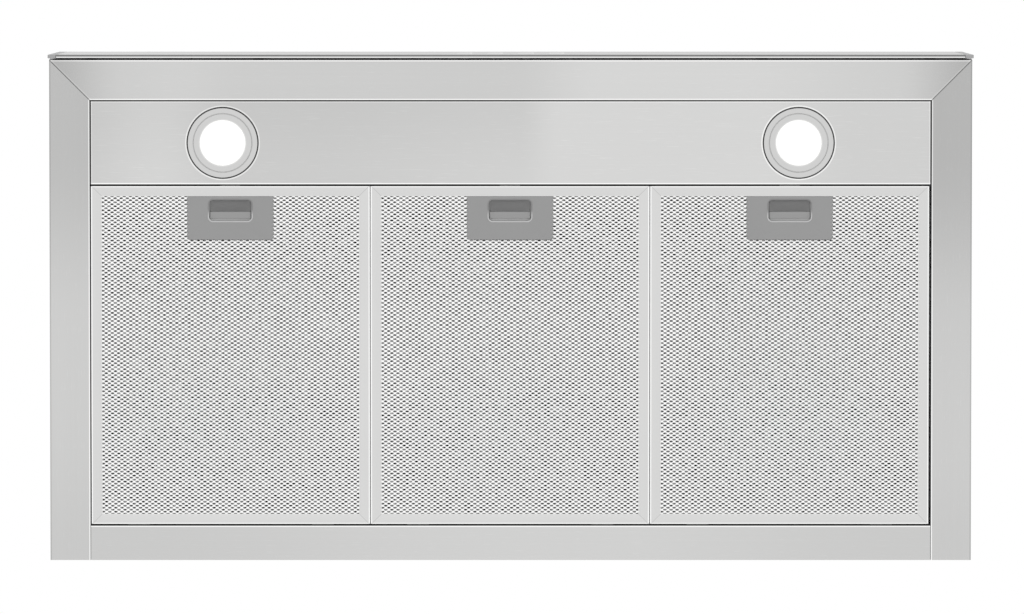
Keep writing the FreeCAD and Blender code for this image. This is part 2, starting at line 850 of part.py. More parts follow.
def latch_plate(name, x):
    """Tray with a window in its floor, guide ribs beside the slider and a slot for the tongue."""
    half = s.latch_width / 2
    w = s.latch_wall
    every = [(-1, -1), (-1, 1), (1, -1), (1, 1)]
    tray = rounded((x - half, x + half), (latch_front, latch_rear), (s.filter_lift, latch_top), s.latch_corner,
                   [(-1, 1), (1, 1)])
    hollow = box((x - half + w, x + half - w), (latch_front + w, latch_rear - w), (plate_top, latch_top + PAST))
    window = rounded((x - s.window_width / 2, x + s.window_width / 2), (window_front, window_rear),
                     (s.filter_lift - PAST, plate_top + PAST), s.window_corner, every)
    slot_half = s.tongue_width / 2 + s.tongue_slot_gap
    slot = box((x - slot_half, x + slot_half), (latch_front - PAST, latch_front + w + PAST),
               (slider_low - s.slider_clearance, slider_high + s.slider_clearance))
    ribs = []
    slide = s.slider_width / 2
    for side in (-1, 1):
        guide = x + side * (slide + s.slider_clearance)
        under = ordered(x + side * (slide - 2 * w), guide)
        beside = ordered(guide, guide + side * w)
        along = (latch_front + w, latch_rear - w)
        ribs.append(box(under, along, (plate_top, slider_low - s.slider_clearance / 2)))
        ribs.append(box(beside, along, (plate_top, slider_high + s.slider_sheet)))
    piece(f"{name}_latch_plate", fuse(cut(tray, hollow, window, slot), *ribs))


def latch_slider(name, x):
    """Sliding plate with a finger dish, the lip behind it, a spring seat and the tongue."""
    half = s.slider_width / 2
    front = latch_front + s.latch_wall + s.slider_clearance
    rear = window_rear + s.slider_land
    dish_half = s.window_width / 2 - s.dish_wall
    dish_front = window_front + s.slider_clearance
    dish_rear = dish_front + s.dish_depth
    dish_top = slider_high + s.dish_height - s.dish_wall
    w = s.dish_wall
    tip = panel_rear - s.panel_sheet - s.tongue_catch
    tongue_half = s.tongue_width / 2
    plate = box((x - half, x + half), (front, rear), (slider_low, slider_high))
    tongue = box((x - tongue_half, x + tongue_half), (tip, front), (slider_low, slider_high))
    bowl_half = dish_half + w
    bowl = box((x - bowl_half, x + bowl_half), (dish_front - w, dish_rear + w), (slider_high, dish_top + w))
    hollow = box((x - dish_half, x + dish_half), (dish_front, dish_rear), (slider_low - PAST, dish_top))
    lip = box((x - dish_half, x + dish_half), (dish_rear, dish_rear + s.lip_depth),
              (plate_top + s.layer_gap, slider_low))
    seat_half = s.spring_radius + w
    seat_top = slider_high + 2 * s.spring_radius
    seat = box((x - seat_half, x + seat_half), (rear - w, rear), (slider_high, seat_top))
    piece(f"{name}_latch_slider", fuse(cut(fuse(plate, tongue, bowl), hollow), lip, seat))
    middle = slider_low + s.spring_radius + s.slider_clearance
    piece(f"{name}_latch_spring", ring("y", (x, middle), (rear, latch_rear - s.latch_wall),
                                       s.spring_radius, s.spring_radius - s.spring_wall))


def filters():
    for name, x in zip(("left", "centre", "right"), latch_centres()):
        filter_frame(name, x)
        filter_layers(name, x)
        latch_plate(name, x)
        latch_slider(name, x)


# ---- canopy pan and blower box ----

def canopy_pan():
    x = half_width - s.pan_inset
    inset = s.air_opening_inset
    plate = box((-x, x), (rim_front + s.pan_inset, rear_face - s.pan_inset), (pan_low, pan_top))
    opening = box((-box_side + inset, box_side - inset), (box_front + inset, box_rear - inset),
                  (pan_low - PAST, pan_top + PAST))
    places = pan_screw_places() + box_screw_places() + bracket_screw_places()
    piece("canopy_pan", cut(plate, opening, *holes(places, pan_low - PAST, pan_top + PAST)))


def blower_box():
    """Four walls, each with a foot flange outward and a head flange inward, and a top panel."""
    t = s.box_sheet
    flange = s.box_flange
    low = (pan_top, pan_top + t)
    head = (box_top - t, box_top)
    inner_x = box_side - t - s.layer_gap
    for label, y, out in (("front", box_front, -1), ("rear", box_rear, 1)):
        wall = box((-box_side, box_side), ordered(y, y - out * t), (pan_top, box_top))
        foot = box((-box_side, box_side), ordered(y, y + out * flange), low)
        top = box((-inner_x, inner_x), ordered(y, y - out * flange), head)
        own = [at for at in box_screw_places() + roof_screw_places() if at[1].number * out > 0]
        tools = holes(own, pan_top - PAST, roof_top + PAST)
        piece(f"blower_box_{label}", cut(fuse(wall, foot, top), *tools))
    inner_y = s.box_depth / 2 - t - s.layer_gap
    head_y = s.box_depth / 2 - flange - s.layer_gap
    for label, side in (("left", -1), ("right", 1)):
        x = side * box_side
        wall = box(ordered(x, x - side * t), (-inner_y, inner_y), (pan_top, box_top))
        foot = box(ordered(x, x + side * flange), (-inner_y, inner_y), low)
        top = box(ordered(x, x - side * flange), (-head_y, head_y), head)
        own = [at for at in box_screw_places() if at[0].number * side > box_side.number]
        tools = holes(own, pan_top - PAST, pan_top + t + PAST)
        piece(f"blower_box_{label}", cut(fuse(wall, foot, top), *tools))
    roof = box((-box_side, box_side), (box_front, box_rear), (box_top, roof_top))
    bore = s.duct_radius - s.duct_wall - s.duct_lip
    outlet = rod("z", (ZERO, duct_y), (box_top - PAST, roof_top + PAST), bore)
    places = roof_screw_places() + collar_screw_places()
    piece("blower_box_top", cut(roof, outlet, *holes(places, box_top - PAST, roof_top + PAST)))


# ---- scroll, fan and motor ----

def volute(inset):
    """The scroll's outline in its own plane, drawn in by an inset, as a list of edges."""
    e = s.scroll_growth.number / 2
    r = first_arc.number - inset
    g = s.scroll_growth.number
    y0, z0 = fan_y.number, fan_z.number
    top = box_top.number
    turn = s.cutoff_radius.number + inset
    cutoff = y0 + s.cutoff_offset.number + inset
    mid = math.sqrt(0.5)

    def at(y, z):
        return Vector(0, y, z)

    def arc(cy, cz, radius, start):
        ends = [at(cy + radius * math.cos(a), cz + radius * math.sin(a)) for a in (start, start + math.pi / 2)]
        half = start + math.pi / 4
        crown = at(cy + radius * math.cos(half), cz + radius * math.sin(half))
        return Part.Arc(ends[0], crown, ends[1]).toShape()

    first = (y0 - e, z0 - e, r)
    second = (y0 + e, z0 - e, r + g)
    third = (y0 + e, z0 + e, r + 2 * g)
    roof = z0 - e + r
    corner = at(cutoff - turn, roof)
    lip = at(cutoff, roof + turn)
    bend = at(cutoff - turn + turn * mid, roof + turn - turn * mid)
    outer = third[0] + third[2]
    return [
        Part.Arc(lip, bend, corner).toShape(),
        Part.makeLine(corner, at(first[0], roof)),
        arc(*first, math.pi / 2),
        arc(*second, math.pi),
        arc(*third, 3 * math.pi / 2),
        Part.makeLine(at(outer, third[1]), at(outer, top)),
        Part.makeLine(at(outer, top), at(cutoff, top)),
        Part.makeLine(at(cutoff, top), lip),
    ]


def scroll():
    t = s.scroll_sheet
    width = scroll_half.number - t.number
    outside = Part.Face(Part.Wire(volute(0)))
    inside = Part.Face(Part.Wire(volute(t.number)))
    span = Vector(2 * width, 0, 0)
    wrap = outside.extrude(span).cut(inside.extrude(span))
    mouth = s.cutoff_offset + t
    rise = Part.makeBox(2 * width, (scroll_right - t - mouth).number, 2 * t.number,
                        Vector(0, (fan_y + mouth).number, (box_top - t).number))
    solid("scroll_wrap", wrap.cut(rise), -scroll_half + t)
    plate = outside.extrude(Vector(t.number, 0, 0))
    centre = Vector(-PAST, fan_y.number, fan_z.number)
    through = t.number + 2 * PAST
    for label, low, hole in (
        ("scroll_motor_side", -scroll_half, s.hub_radius),
        ("scroll_inlet_side", scroll_half - t, s.inlet_radius + t),
    ):
        solid(label, plate.cut(Part.makeCylinder(hole.number, through, centre, Vector(1, 0, 0))), low)


def inlet_ring():
    """Bellmouth ring in the inlet plate, with a guard of rings and spokes across it."""
    at = (fan_y, fan_z)
    t = s.scroll_sheet
    face = scroll_half
    wire = s.guard_wire
    out = face + s.guard_stand
    parts = [
        ring("x", at, (face, face + t), s.inlet_radius + s.inlet_flange, s.inlet_radius),
        ring("x", at, (face - s.impeller_gap / 2, out), s.inlet_radius + t - s.layer_gap, s.inlet_radius - t),
        box((out - wire, out), (fan_y - s.inlet_radius, fan_y + s.inlet_radius), (fan_z - wire, fan_z + wire)),
        box((out - wire, out), (fan_y - wire, fan_y + wire), (fan_z - s.inlet_radius, fan_z + s.inlet_radius)),
    ]
    for step in range(round(s.guard_rings.number)):
        radius = s.guard_step * (step + 1)
        parts.append(ring("x", at, (out - wire, out), radius + wire, radius - wire))
    piece("inlet_ring", fuse(*parts))


def blade_outline():
    """One forward-curved blade in the impeller's plane, as four corners and two side points."""
    inner, outer = s.blade_inner_radius, s.impeller_radius - s.impeller_disc
    t = s.blade_sheet
    lean = s.blade_lean
    half = (inner + outer) / 2
    return [
        (ZERO, inner),
        (lean / 2, half),
        (-lean, outer),
        (-lean + t, outer),
        (lean / 2 + t, half),
        (t, inner),
    ]


def impeller():
    low = -s.impeller_width / 2
    high = s.impeller_width / 2
    disc = s.impeller_disc
    middle = (fan_y, fan_z)
    bore = s.shaft_radius
    plate = [(0, 0, s.impeller_radius), (0, 0, bore)]
    hub = [(0, 0, s.hub_radius - s.hub_step), (0, 0, bore)]
    rim = [(0, 0, s.impeller_radius), (0, 0, s.blade_inner_radius)]
    body = doc.addObject("PartDesign::Body", "Impeller")
    feature(body, "Pad", sketch(body, "YZ_Plane", circles=plate, offset=low, centre=middle), disc)
    feature(body, "Pad", sketch(body, "YZ_Plane", circles=hub, offset=low + disc, centre=middle), s.hub_length)
    profile = sketch(body, "YZ_Plane", blade_outline(), offset=low + disc / 2, centre=middle)
    blade = feature(body, "Pad", profile, s.impeller_width - disc)
    doc.recompute()
    wheel = body.newObject("PartDesign::PolarPattern", "Blades")
    wheel.Originals = [blade]
    wheel.Axis = (profile, ["N_Axis"])
    wheel.Angle = 360
    bind(wheel, "Occurrences", s.blade_count)
    body.Tip = wheel
    end = 2 * disc
    feature(body, "Pad", sketch(body, "YZ_Plane", circles=rim, offset=high - end, centre=middle), end)
    piece("impeller", body)


def motor():
    """Motor outside the scroll's closed side; its rotor turns with the shaft and the impeller."""
    at = (fan_y, fan_z)
    near = -scroll_half
    far = near - s.motor_length
    hub_end = -s.impeller_width / 2 + s.impeller_disc + s.hub_length
    drum = (far + s.motor_end + s.rotor_gap, near - s.motor_end - s.rotor_gap)
    piece("motor_shaft", fuse(
        rod("x", at, (far, hub_end), s.shaft_radius - s.shaft_clearance / 2),
        rod("x", at, drum, s.rotor_radius),
    ))
    piece("motor_housing", cut(
        fuse(
            rod("x", at, (far, near), s.motor_radius),
            rod("x", at, (far - s.gland_nut, far), s.hub_radius),
            rod("x", at, (near - s.scroll_sheet, near), s.motor_radius + s.box_flange),
        ),
        rod("x", at, (far + s.motor_end, near - s.motor_end), s.rotor_radius + s.rotor_gap),
        rod("x", at, (far - s.rotor_gap, near + PAST), s.shaft_radius + s.shaft_clearance),
    ))


# ---- duct collar and damper flaps ----

def flap_z():
    return roof_top + s.duct_wall + s.flap_sheet / 2 + s.layer_gap


def duct_collar():
    at = (ZERO, duct_y)
    wall = s.duct_radius - s.duct_wall
    top = roof_top + s.duct_height
    lip = wall - s.duct_lip
    bar = s.flap_pin_offset + s.duct_lip
    tube = ring("z", at, (roof_top, top), s.duct_radius, wall)
    base = ring("z", at, (roof_top, roof_top + s.duct_wall), s.duct_radius + s.duct_flange, lip)
    strip = box((-wall, wall), (duct_y - bar, duct_y + bar), (roof_top, roof_top + s.duct_wall))
    tools = holes(collar_screw_places(), roof_top - PAST, roof_top + s.duct_wall + PAST)
    across = (-s.duct_radius - PAST, s.duct_radius + PAST)
    for side in (-1, 1):
        pin = (duct_y + side * s.flap_pin_offset, flap_z())
        tools.append(rod("x", pin, across, s.flap_pin_radius + s.shaft_clearance))
    collar = cut(fuse(tube, base, strip), *tools)
    piece("duct_collar", collar)
    for place_at in collar_screw_places():
        screw("z", place_at, roof_top + s.duct_wall, 1)


def damper_flaps():
    """Half discs, each with a pin along its straight edge that turns in the collar's wall."""
    radius = s.duct_radius - s.duct_wall - s.flap_clearance
    z = flap_z()
    half = s.flap_sheet / 2
    reach = s.duct_radius
    pin = s.flap_pin_radius
    for label, side in (("front_damper_flap", -1), ("rear_damper_flap", 1)):
        y = duct_y + side * s.flap_pin_offset
        disc = rod("z", (ZERO, duct_y), (z - half, z + half), radius)
        spare = box((-reach, reach), ordered(y, y - side * 2 * reach), (z - half - PAST, z + half + PAST))
        under = box((-reach - PAST, reach + PAST), (y - pin - PAST, y + pin + PAST), (z - pin - PAST, z - half))
        lean = cut(rod("x", (y, z), (-reach, reach), pin), under)
        ends = [rod("x", (y, z), ordered(end * reach, end * (radius - PAST)), pin) for end in (-1, 1)]
        piece(label, fuse(cut(disc, spare), lean, *ends))


# ---- boxes on the pan, brackets ----

def control_box():
    x = (-box_side - half_width) / 2 + s.box_flange / 2
    half = s.control_box_width / 2
    long = s.control_box_length / 2
    low = pan_top
    w = s.guide_wall
    top = low + s.control_box_height
    case = box((x - half, x + half), (-long, long), (low, top))
    hollow = box((x - half + w, x + half - w), (-long + w, long - w), (low + w, top - w))
    piece("control_box", cut(case, hollow))


def junction_box():
    x = (box_side + half_width) / 2 - s.box_flange / 2
    half = s.junction_width / 2
    long = s.junction_length / 2
    low = pan_top
    w = s.guide_wall
    top = low + s.junction_height
    z = low + s.junction_height / 2
    case = box((x - half, x + half), (-long, long), (low, top))
    hollow = box((x - half + w, x + half - w), (-long + w, long - w), (low + w, top - w))
    hole = rod("y", (x, z), (long - w - PAST, long + PAST), s.gland_radius)
    piece("junction_box", cut(case, hollow, hole))
    inner = long - w - s.gland_nut
    piece("cable_gland", cut(
        fuse(
            rod("y", (x, z), (inner, inner + s.gland_length), s.gland_radius - s.layer_gap),
            rod("y", (x, z), (long, long + s.gland_nut), s.gland_radius + s.gland_flange),
            rod("y", (x, z), (inner, long - w), s.gland_radius + s.gland_flange),
        ),
        rod("y", (x, z), (inner - PAST, inner + s.gland_length + PAST), s.gland_bore),
    ))


def mounting_brackets():
    t = s.bracket_sheet
    items = []
    half = s.bracket_length / 2
    for side in (-1, 1):
        inner = side * (half_width - s.top_flange - 2 * s.pan_inset)
        foot_end = inner - side * s.bracket_foot
        foot = box(ordered(inner, foot_end), (-half, half), (pan_top, pan_top + t))
        wall = box(ordered(inner, inner - side * t), (-half, half), (pan_top, pan_top + s.bracket_height))
        z = pan_top + s.bracket_hole_rise
        through = ordered(inner + side * PAST, inner - side * (t + PAST))
        reach = s.bracket_hole_spacing / 2
        tools = [rod("x", (end * reach, z), through, s.bracket_hole_radius) for end in (-1, 1)]
        own = [at for at in bracket_screw_places() if at[0].number * side > 0]
        items.append(cut(fuse(foot, wall), *tools, *holes(own, pan_top - PAST, pan_top + t + PAST)))
    piece("mounting_brackets", group(*items))


def all_screws():
    for at in pan_screw_places():
        screw("z", at, pan_top, 1)
    for at in box_screw_places():
        screw("z", at, pan_top + s.box_sheet, 1)
    for at in bracket_screw_places():
        screw("z", at, pan_top + s.bracket_sheet, 1)
    for at in roof_screw_places():
        screw("z", at, roof_top, 1)
    reach = s.rail_sheet + s.fascia_gap + s.fascia_depth - s.fascia_sheet - s.layer_gap
    for at in spacer_places():
        screw("y", at, rim_front + s.rail_sheet, 1, reach)
    piece("sheet_screws", group(*SCREWS))


# ---- checks and files ----

def check():
    doc.recompute()
    for item in doc.Objects:
        if "Invalid" in item.State or "Error" in item.State:
            raise RuntimeError(f"{item.Name} ({item.Label}) did not build")
    for item in PIECES:
        if item.Shape.isNull() or not item.Shape.isValid() or not item.Shape.Solids:
            raise RuntimeError(f"{item.Label} has no valid solid")


def write_files():
    os.makedirs("parts", exist_ok=True)
    for item in PIECES:
        item.Shape.exportStep(f"parts/{item.Label}.step")
        print(f"{item.Label}: {len(item.Shape.Solids)} solids, {item.Shape.Volume:.0f} mm3")


def main():
    front_rail()
    side_rail(-1, "left_rail")
    side_rail(1, "right_rail")
    rear_rail()
    fascia()
    buttons()
    light_panel()
    lamps()
    filters()
    canopy_pan()
    blower_box()
    scroll()
    inlet_ring()
    impeller()
    motor()
    duct_collar()
    damper_flaps()
    control_box()
    junction_box()
    mounting_brackets()
    all_screws()
    check()
    write_files()


main()
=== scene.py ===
import json
import math

import bmesh
import bpy
import numpy as np
from bpy.props import FloatProperty, FloatVectorProperty, IntProperty, PointerProperty
from mathutils import Matrix, Vector

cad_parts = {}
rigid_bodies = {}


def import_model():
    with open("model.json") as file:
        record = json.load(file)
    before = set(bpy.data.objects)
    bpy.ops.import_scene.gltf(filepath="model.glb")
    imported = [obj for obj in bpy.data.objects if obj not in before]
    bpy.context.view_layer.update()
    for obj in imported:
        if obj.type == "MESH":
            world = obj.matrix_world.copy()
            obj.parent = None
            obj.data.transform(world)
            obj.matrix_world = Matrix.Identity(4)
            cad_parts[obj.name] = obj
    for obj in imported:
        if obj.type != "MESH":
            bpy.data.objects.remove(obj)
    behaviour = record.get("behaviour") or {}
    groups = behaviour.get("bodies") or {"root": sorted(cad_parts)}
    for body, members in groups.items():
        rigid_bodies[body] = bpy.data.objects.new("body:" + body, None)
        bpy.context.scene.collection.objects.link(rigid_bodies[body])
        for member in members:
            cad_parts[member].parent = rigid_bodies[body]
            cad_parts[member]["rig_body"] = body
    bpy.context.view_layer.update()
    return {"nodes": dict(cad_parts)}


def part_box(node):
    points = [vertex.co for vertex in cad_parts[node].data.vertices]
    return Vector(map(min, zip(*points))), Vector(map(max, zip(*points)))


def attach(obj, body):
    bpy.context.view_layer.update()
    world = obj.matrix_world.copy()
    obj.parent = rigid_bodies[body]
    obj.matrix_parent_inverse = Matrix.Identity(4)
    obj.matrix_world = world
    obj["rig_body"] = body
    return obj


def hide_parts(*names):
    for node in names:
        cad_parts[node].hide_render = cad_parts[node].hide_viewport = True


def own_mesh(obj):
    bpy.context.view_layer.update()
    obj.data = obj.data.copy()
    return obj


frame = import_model()

bl_info = {
    "name": "Range hood insert",
    "version": (1, 0, 0),
    "blender": (4, 5, 0),
    "location": "3D View > Sidebar > Hood",
    "description": "Dresses a range hood insert: brushed rim, lit panel, mesh filters, latches and blower",
    "category": "Object",
}

# Everything is in metres, +X right, +Y to the rear, +Z up. The hood hangs, and is seen from below.

SIDES = ("left", "centre", "right")

MERGE = 2e-6            # points closer than this are one point
ROUND_STEPS = 96        # steps round a lathe shape
SCREW_STEPS = 36        # steps round a screw
LAMP_GROOVE = 0.0286    # radius of the fine groove round a bezel, where a line of painted shade runs
PANEL_HIGHLIGHT_RING = 0.0359      # radius of the painted highlight ring on the panel round a bezel
LENS_RIM = (0.0212, 0.0228)     # radii between which a lens darkens to its rim
TAB_LENGTH = 0.0072     # how far a filter's rear tabs reach past its border
SIDE_MARGIN = 0.0082    # from a filter's sides to its mesh
END_MARGIN = 0.0074     # from the ends of a filter's mesh node to the mesh
LATCH_FRONT = 0.0036    # from a latch plate's front to its window
WINDOW = (0.02075, 0.01025)     # half the width and half the depth of a latch's window
BRIGHT = (0.93, 0.93, 0.925)    # cut aluminium of the strands, and the light tint painted as a highlight on the borders' edges
AIM = Vector((0.0013, -0.0008, 0.0))    # the point that the camera looks at


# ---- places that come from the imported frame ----

def span(node):
    """Lowest and highest corner of a node, as two numpy rows."""
    low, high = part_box(node)
    return np.array(low), np.array(high)


def middle(node):
    low, high = span(node)
    return (low + high) / 2


# ---- settings that a user would change ----

def length(name, description, default):
    return FloatProperty(name=name, description=description, default=default,
                         subtype="DISTANCE", unit="LENGTH")


def share(name, description, default):
    return FloatProperty(name=name, description=description, default=default, min=0.0, max=1.0,
                         subtype="FACTOR")


def tint(name, description, default):
    return FloatVectorProperty(name=name, description=description, default=default, size=3,
                               min=0.0, max=1.0, subtype="COLOR")


class SteelSettings(bpy.types.PropertyGroup):
    face: tint("Steel", "Brushed stainless face", (0.605, 0.605, 0.6))
    # The light edge tint paints a highlight along each bevelled edge of the sheets.
    edge: tint("Edge", "Burnished edge of a bend", (0.93, 0.93, 0.92))
    # How dark the painted shade on the walls inside the channels is.
    inside: share("Inside", "How much duller the walls inside the channels are", 0.82)
    # How strong the painted highlight beside a sheet's seams is.
    seam_highlight: share("Burnish", "How much brighter a sheet is along its seams", 0.75)
    zinc: tint("Galvanised", "Zinc coated sheet", (0.56, 0.57, 0.58))
    roughness: share("Roughness", "Roughness of the brushed face", 0.36)
    edge_radius: length("Edge radius", "Radius of a sheet's broken edge", 0.00042)


class MeshSettings(bpy.types.PropertyGroup):
    pitch_across: length("Pitch across", "Long pitch of the diamonds, along X", 0.0060)
    pitch_along: length("Pitch along", "Short pitch of the diamonds, along Y", 0.00394)
    hole_across: length("Hole across", "Long opening of a diamond", 0.0038)
    hole_along: length("Hole along", "Short opening of a diamond", 0.00205)
    tilt: length("Strand tilt", "How far a hole's two sides stand out of the sheet", 0.00026)
    wall: length("Sheet", "Thickness of the expanded sheet", 0.0004)
    strand: tint("Strand", "Bright aluminium strand", BRIGHT)
    # The layers behind are dark as painted shade.
    behind: tint("Layers behind", "Aluminium layers behind the face", (0.22, 0.22, 0.22))
    border: tint("Border", "Satin aluminium border", (0.68, 0.68, 0.675))
    bead: length("Bead", "How far the rolled edge of a border stands out at its sides", 0.00055)


class LatchSettings(bpy.types.PropertyGroup):
    plate: tint("Plate", "Moulded grey plate", (0.325, 0.325, 0.325))
    slider: tint("Slider", "Moulded grey slider", (0.33, 0.33, 0.33))
    rim_width: length("Rim", "Raised rim round the window", 0.0011)
    dish_depth: length("Dish", "Depth of the finger dish", 0.0034)
    spring_turns: IntProperty(name="Turns", description="Turns of the latch spring", default=7,
                              min=3, max=12)


class LampSettings(bpy.types.PropertyGroup):
    bezel: tint("Bezel", "Satin light grey ring", (0.68, 0.68, 0.675))
    glow: tint("Glow", "Colour of the lit lens", (1.0, 0.995, 0.98))
    strength: FloatProperty(name="Strength", description="Strength of the lit lens", default=0.45, min=0.0)


class StageSettings(bpy.types.PropertyGroup):
    distance: length("Distance", "From the camera to the middle of the underside", 12.0)
    tilt: FloatProperty(name="Tilt", description="Camera's lean to the front", default=math.radians(4.7),
                        subtype="ANGLE", unit="ROTATION")
    scale: FloatProperty(name="Scale", description="Picture widths in a metre of the underside",
                         default=1.0002)
    floor_drop: length("Floor", "Height of the floor under the rim", -0.42)


GROUPS = {
    "hood_steel": SteelSettings,
    "hood_mesh": MeshSettings,
    "hood_latch": LatchSettings,
    "hood_lamp": LampSettings,
    "hood_stage": StageSettings,
}


# ---- surfaces ----

def lattice(rows, columns, close_rows=False, close_columns=False):
    """Quads of a grid of rows by columns: each joins a point to the next ones in its row and its column."""
    r = np.arange(rows if close_rows else rows - 1)[:, None]
    c = np.arange(columns if close_columns else columns - 1)[None, :]
    r2, c2 = (r + 1) % rows, (c + 1) % columns
    quads = np.stack([r * columns + c, r * columns + c2, r2 * columns + c2, r2 * columns + c], axis=-1)
    return quads.reshape(-1, 4)


def copied(quads, count, size):
    """The same quads for each of count copies of a shape that has size points."""
    return (np.arange(count)[:, None, None] * size + quads[None]).reshape(-1, 4)


def give(item, **values):
    """Sets an item's values by name."""
    for name, value in values.items():
        setattr(item, name, value)


def linked(name, data):
    """A new object in the scene with the given data."""
    item = bpy.data.objects.new(name, data)
    bpy.context.scene.collection.objects.link(item)
    return item


def piece(name, body, points, quads, face, smooth=40, replaces=(), ends=(), shine=None,
          down=False):
    """A mesh object from points and quads, with doubles merged and faces turned outwards, riding on a body.
    A sheet without an inside is turned as a whole, so that its faces look down."""
    data = bpy.data.meshes.new(name)
    data.from_pydata(np.asarray(points).tolist(), [], np.asarray(quads).tolist() + [list(e) for e in ends])
    if shine is not None:
        data.attributes.new("shine", "FLOAT", "POINT").data.foreach_set("value", shine)
    shape = bmesh.new()
    shape.from_mesh(data)
    bmesh.ops.remove_doubles(shape, verts=shape.verts, dist=MERGE)
    bmesh.ops.recalc_face_normals(shape, faces=shape.faces)
    shape.to_mesh(data)
    shape.free()
    if down:
        normals = np.empty(len(data.polygons) * 3)
        data.polygons.foreach_get("normal", normals)
        if normals[2::3].sum() > 0:
            data.flip_normals()
    return finish_piece(name, body, data, (face,), smooth, replaces)


def finish_piece(name, body, data, faces, smooth, replaces):
    """Gives a mesh its finishes and shading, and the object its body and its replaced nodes."""
    for face in faces:
        data.materials.append(finish(face))
    if smooth:
        data.shade_smooth()
        data.set_sharp_from_angle(angle=math.radians(smooth))
    item = linked(name, data)
    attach(item, body)
    if replaces:
        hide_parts(*replaces)
    return item


def drawn_area(data):
    """Area of a mesh as the triangles that it is drawn with."""
    data.calc_loop_triangles()
    areas = np.empty(len(data.loop_triangles))
    data.loop_triangles.foreach_get("area", areas)
    return float(areas.sum())


def keeps_openings(item, source):
    """Stops the script where a finished piece has much more or less surface than its node, as when a face
    has come to cover an opening."""
    made = item.evaluated_get(bpy.context.evaluated_depsgraph_get())
    share_of_node = drawn_area(made.to_mesh()) / drawn_area(source.data)
    made.to_mesh_clear()
    if not 0.9 < share_of_node < 1.05:
        raise RuntimeError(f"{item.name} has {share_of_node:.2f} of its node's surface")


def softened(name, node, radius, face, edge=None, join=True):
    """A node's own surface with its doubles merged and flat facets joined; radius rounds its sharp edges.
    A flat ring isn't joined, because its one face could be filled across the opening."""
    source = frame["nodes"][node]
    data = bpy.data.meshes.new(name)
    shape = bmesh.new()
    shape.from_mesh(source.data)
    bmesh.ops.remove_doubles(shape, verts=shape.verts, dist=MERGE)
    if join:
        bmesh.ops.dissolve_limit(shape, angle_limit=math.radians(0.4), verts=shape.verts,
                                 edges=shape.edges)
    for flat in shape.faces:
        flat.material_index = 0
    shape.to_mesh(data)
    shape.free()
    item = finish_piece(name, source["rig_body"], data, (face, edge or face), 35, (node,))
    give(item.modifiers.new("Broken edge", "BEVEL"), width=radius, segments=2, limit_method="ANGLE",
         angle_limit=math.radians(38), material=1, miter_outer="MITER_ARC", harden_normals=False,
         use_clamp_overlap=True)
    keeps_openings(item, source)
    return item


def turned(profile, centre, steps=ROUND_STEPS):
    """A lathe shape: a closed outline of radius and height, carried round the upright axis at centre."""
    profile = np.asarray(profile, float)
    angle = np.linspace(0, 2 * math.pi, steps, endpoint=False)
    x = centre[0] + np.outer(np.cos(angle), profile[:, 0])
    y = centre[1] + np.outer(np.sin(angle), profile[:, 0])
    z = np.broadcast_to(profile[:, 1], x.shape)
    return np.stack([x, y, z], -1).reshape(-1, 3), lattice(steps, len(profile), True, True)


def round_rectangle(half_x, half_y, radius, steps=8):
    """Points and outward directions round a rectangle whose corners are quarter turns."""
    quarter = np.linspace(0, math.pi / 2, steps)
    turns = np.concatenate([quarter + k * math.pi / 2 for k in range(4)])
    out = np.stack([np.cos(turns), np.sin(turns)], 1)
    signs = np.repeat(np.array([[1, 1], [-1, 1], [-1, -1], [1, -1]]), steps, axis=0)
    corner = signs * np.array([half_x - radius, half_y - radius])
    return corner + radius * out, out


def carried(path, out, profile, centre):
    """A closed outline of offset and height, carried round a closed flat path; the offset is outwards."""
    profile = np.asarray(profile, float)
    flat = path[:, None, :] + out[:, None, :] * profile[None, :, :1] + np.asarray(centre)[:2]
    z = np.broadcast_to(profile[:, 1], flat.shape[:2])
    points = np.concatenate([flat, z[..., None]], -1).reshape(-1, 3)
    return points, lattice(len(path), len(profile), True, True)


def rounded_outline(corners, radius, steps=4):
    """A closed outline through corners, each replaced by an arc that is tangent to its two sides."""
    corners = np.asarray(corners, float)
    before = np.roll(corners, 1, 0) - corners
    after = np.roll(corners, -1, 0) - corners
    before /= np.linalg.norm(before, axis=1)[:, None]
    after /= np.linalg.norm(after, axis=1)[:, None]
    radius = np.broadcast_to(radius, len(corners))
    points = []
    for corner, a, b, r in zip(corners, before, after, radius):
        half = math.acos(max(-1.0, min(1.0, float(a @ b)))) / 2
        if r <= 0 or half > math.pi / 2 - 1e-3:
            points.append(corner[None])
            continue
        way = (a + b) / np.linalg.norm(a + b)
        middle_point = corner + way * r / math.sin(half)
        start, end = corner + a * r / math.tan(half), corner + b * r / math.tan(half)
        t = np.linspace(0, 1, steps)[:, None]
        ray = (start - middle_point) * (1 - t) + (end - middle_point) * t
        points.append(middle_point + ray / np.linalg.norm(ray, axis=1)[:, None] * r)
    return np.concatenate(points)


# ---- shader maths ----

class Socket:
    """A node's output that Python's operators work on: each adds a Math node to the same material."""

    def __init__(self, finish, output):
        self.finish = finish
        self.output = output

    def maths(self, operation, *values, clamp=False):
        return self.finish.node("ShaderNodeMath", {"operation": operation, "use_clamp": clamp},
                                dict(enumerate(values)))

    def __add__(self, other):
        return self.maths("ADD", self, other)

    __radd__ = __add__

    def __sub__(self, other):
        return self.maths("SUBTRACT", self, other)

    def __rsub__(self, other):
        return self.maths("SUBTRACT", other, self)

    def __mul__(self, other):
        return self.maths("MULTIPLY", self, other)

    __rmul__ = __mul__

    def __truediv__(self, other):
        return self.maths("DIVIDE", self, other)

    def __abs__(self):
        return self.maths("ABSOLUTE", self)

    def step(self, low, high):
        """Rises smoothly from 0 at low to 1 at high."""
        return self.finish.node("ShaderNodeMapRange", {"interpolation_type": "SMOOTHSTEP"},
                                {"Value": self, "From Min": low, "From Max": high})


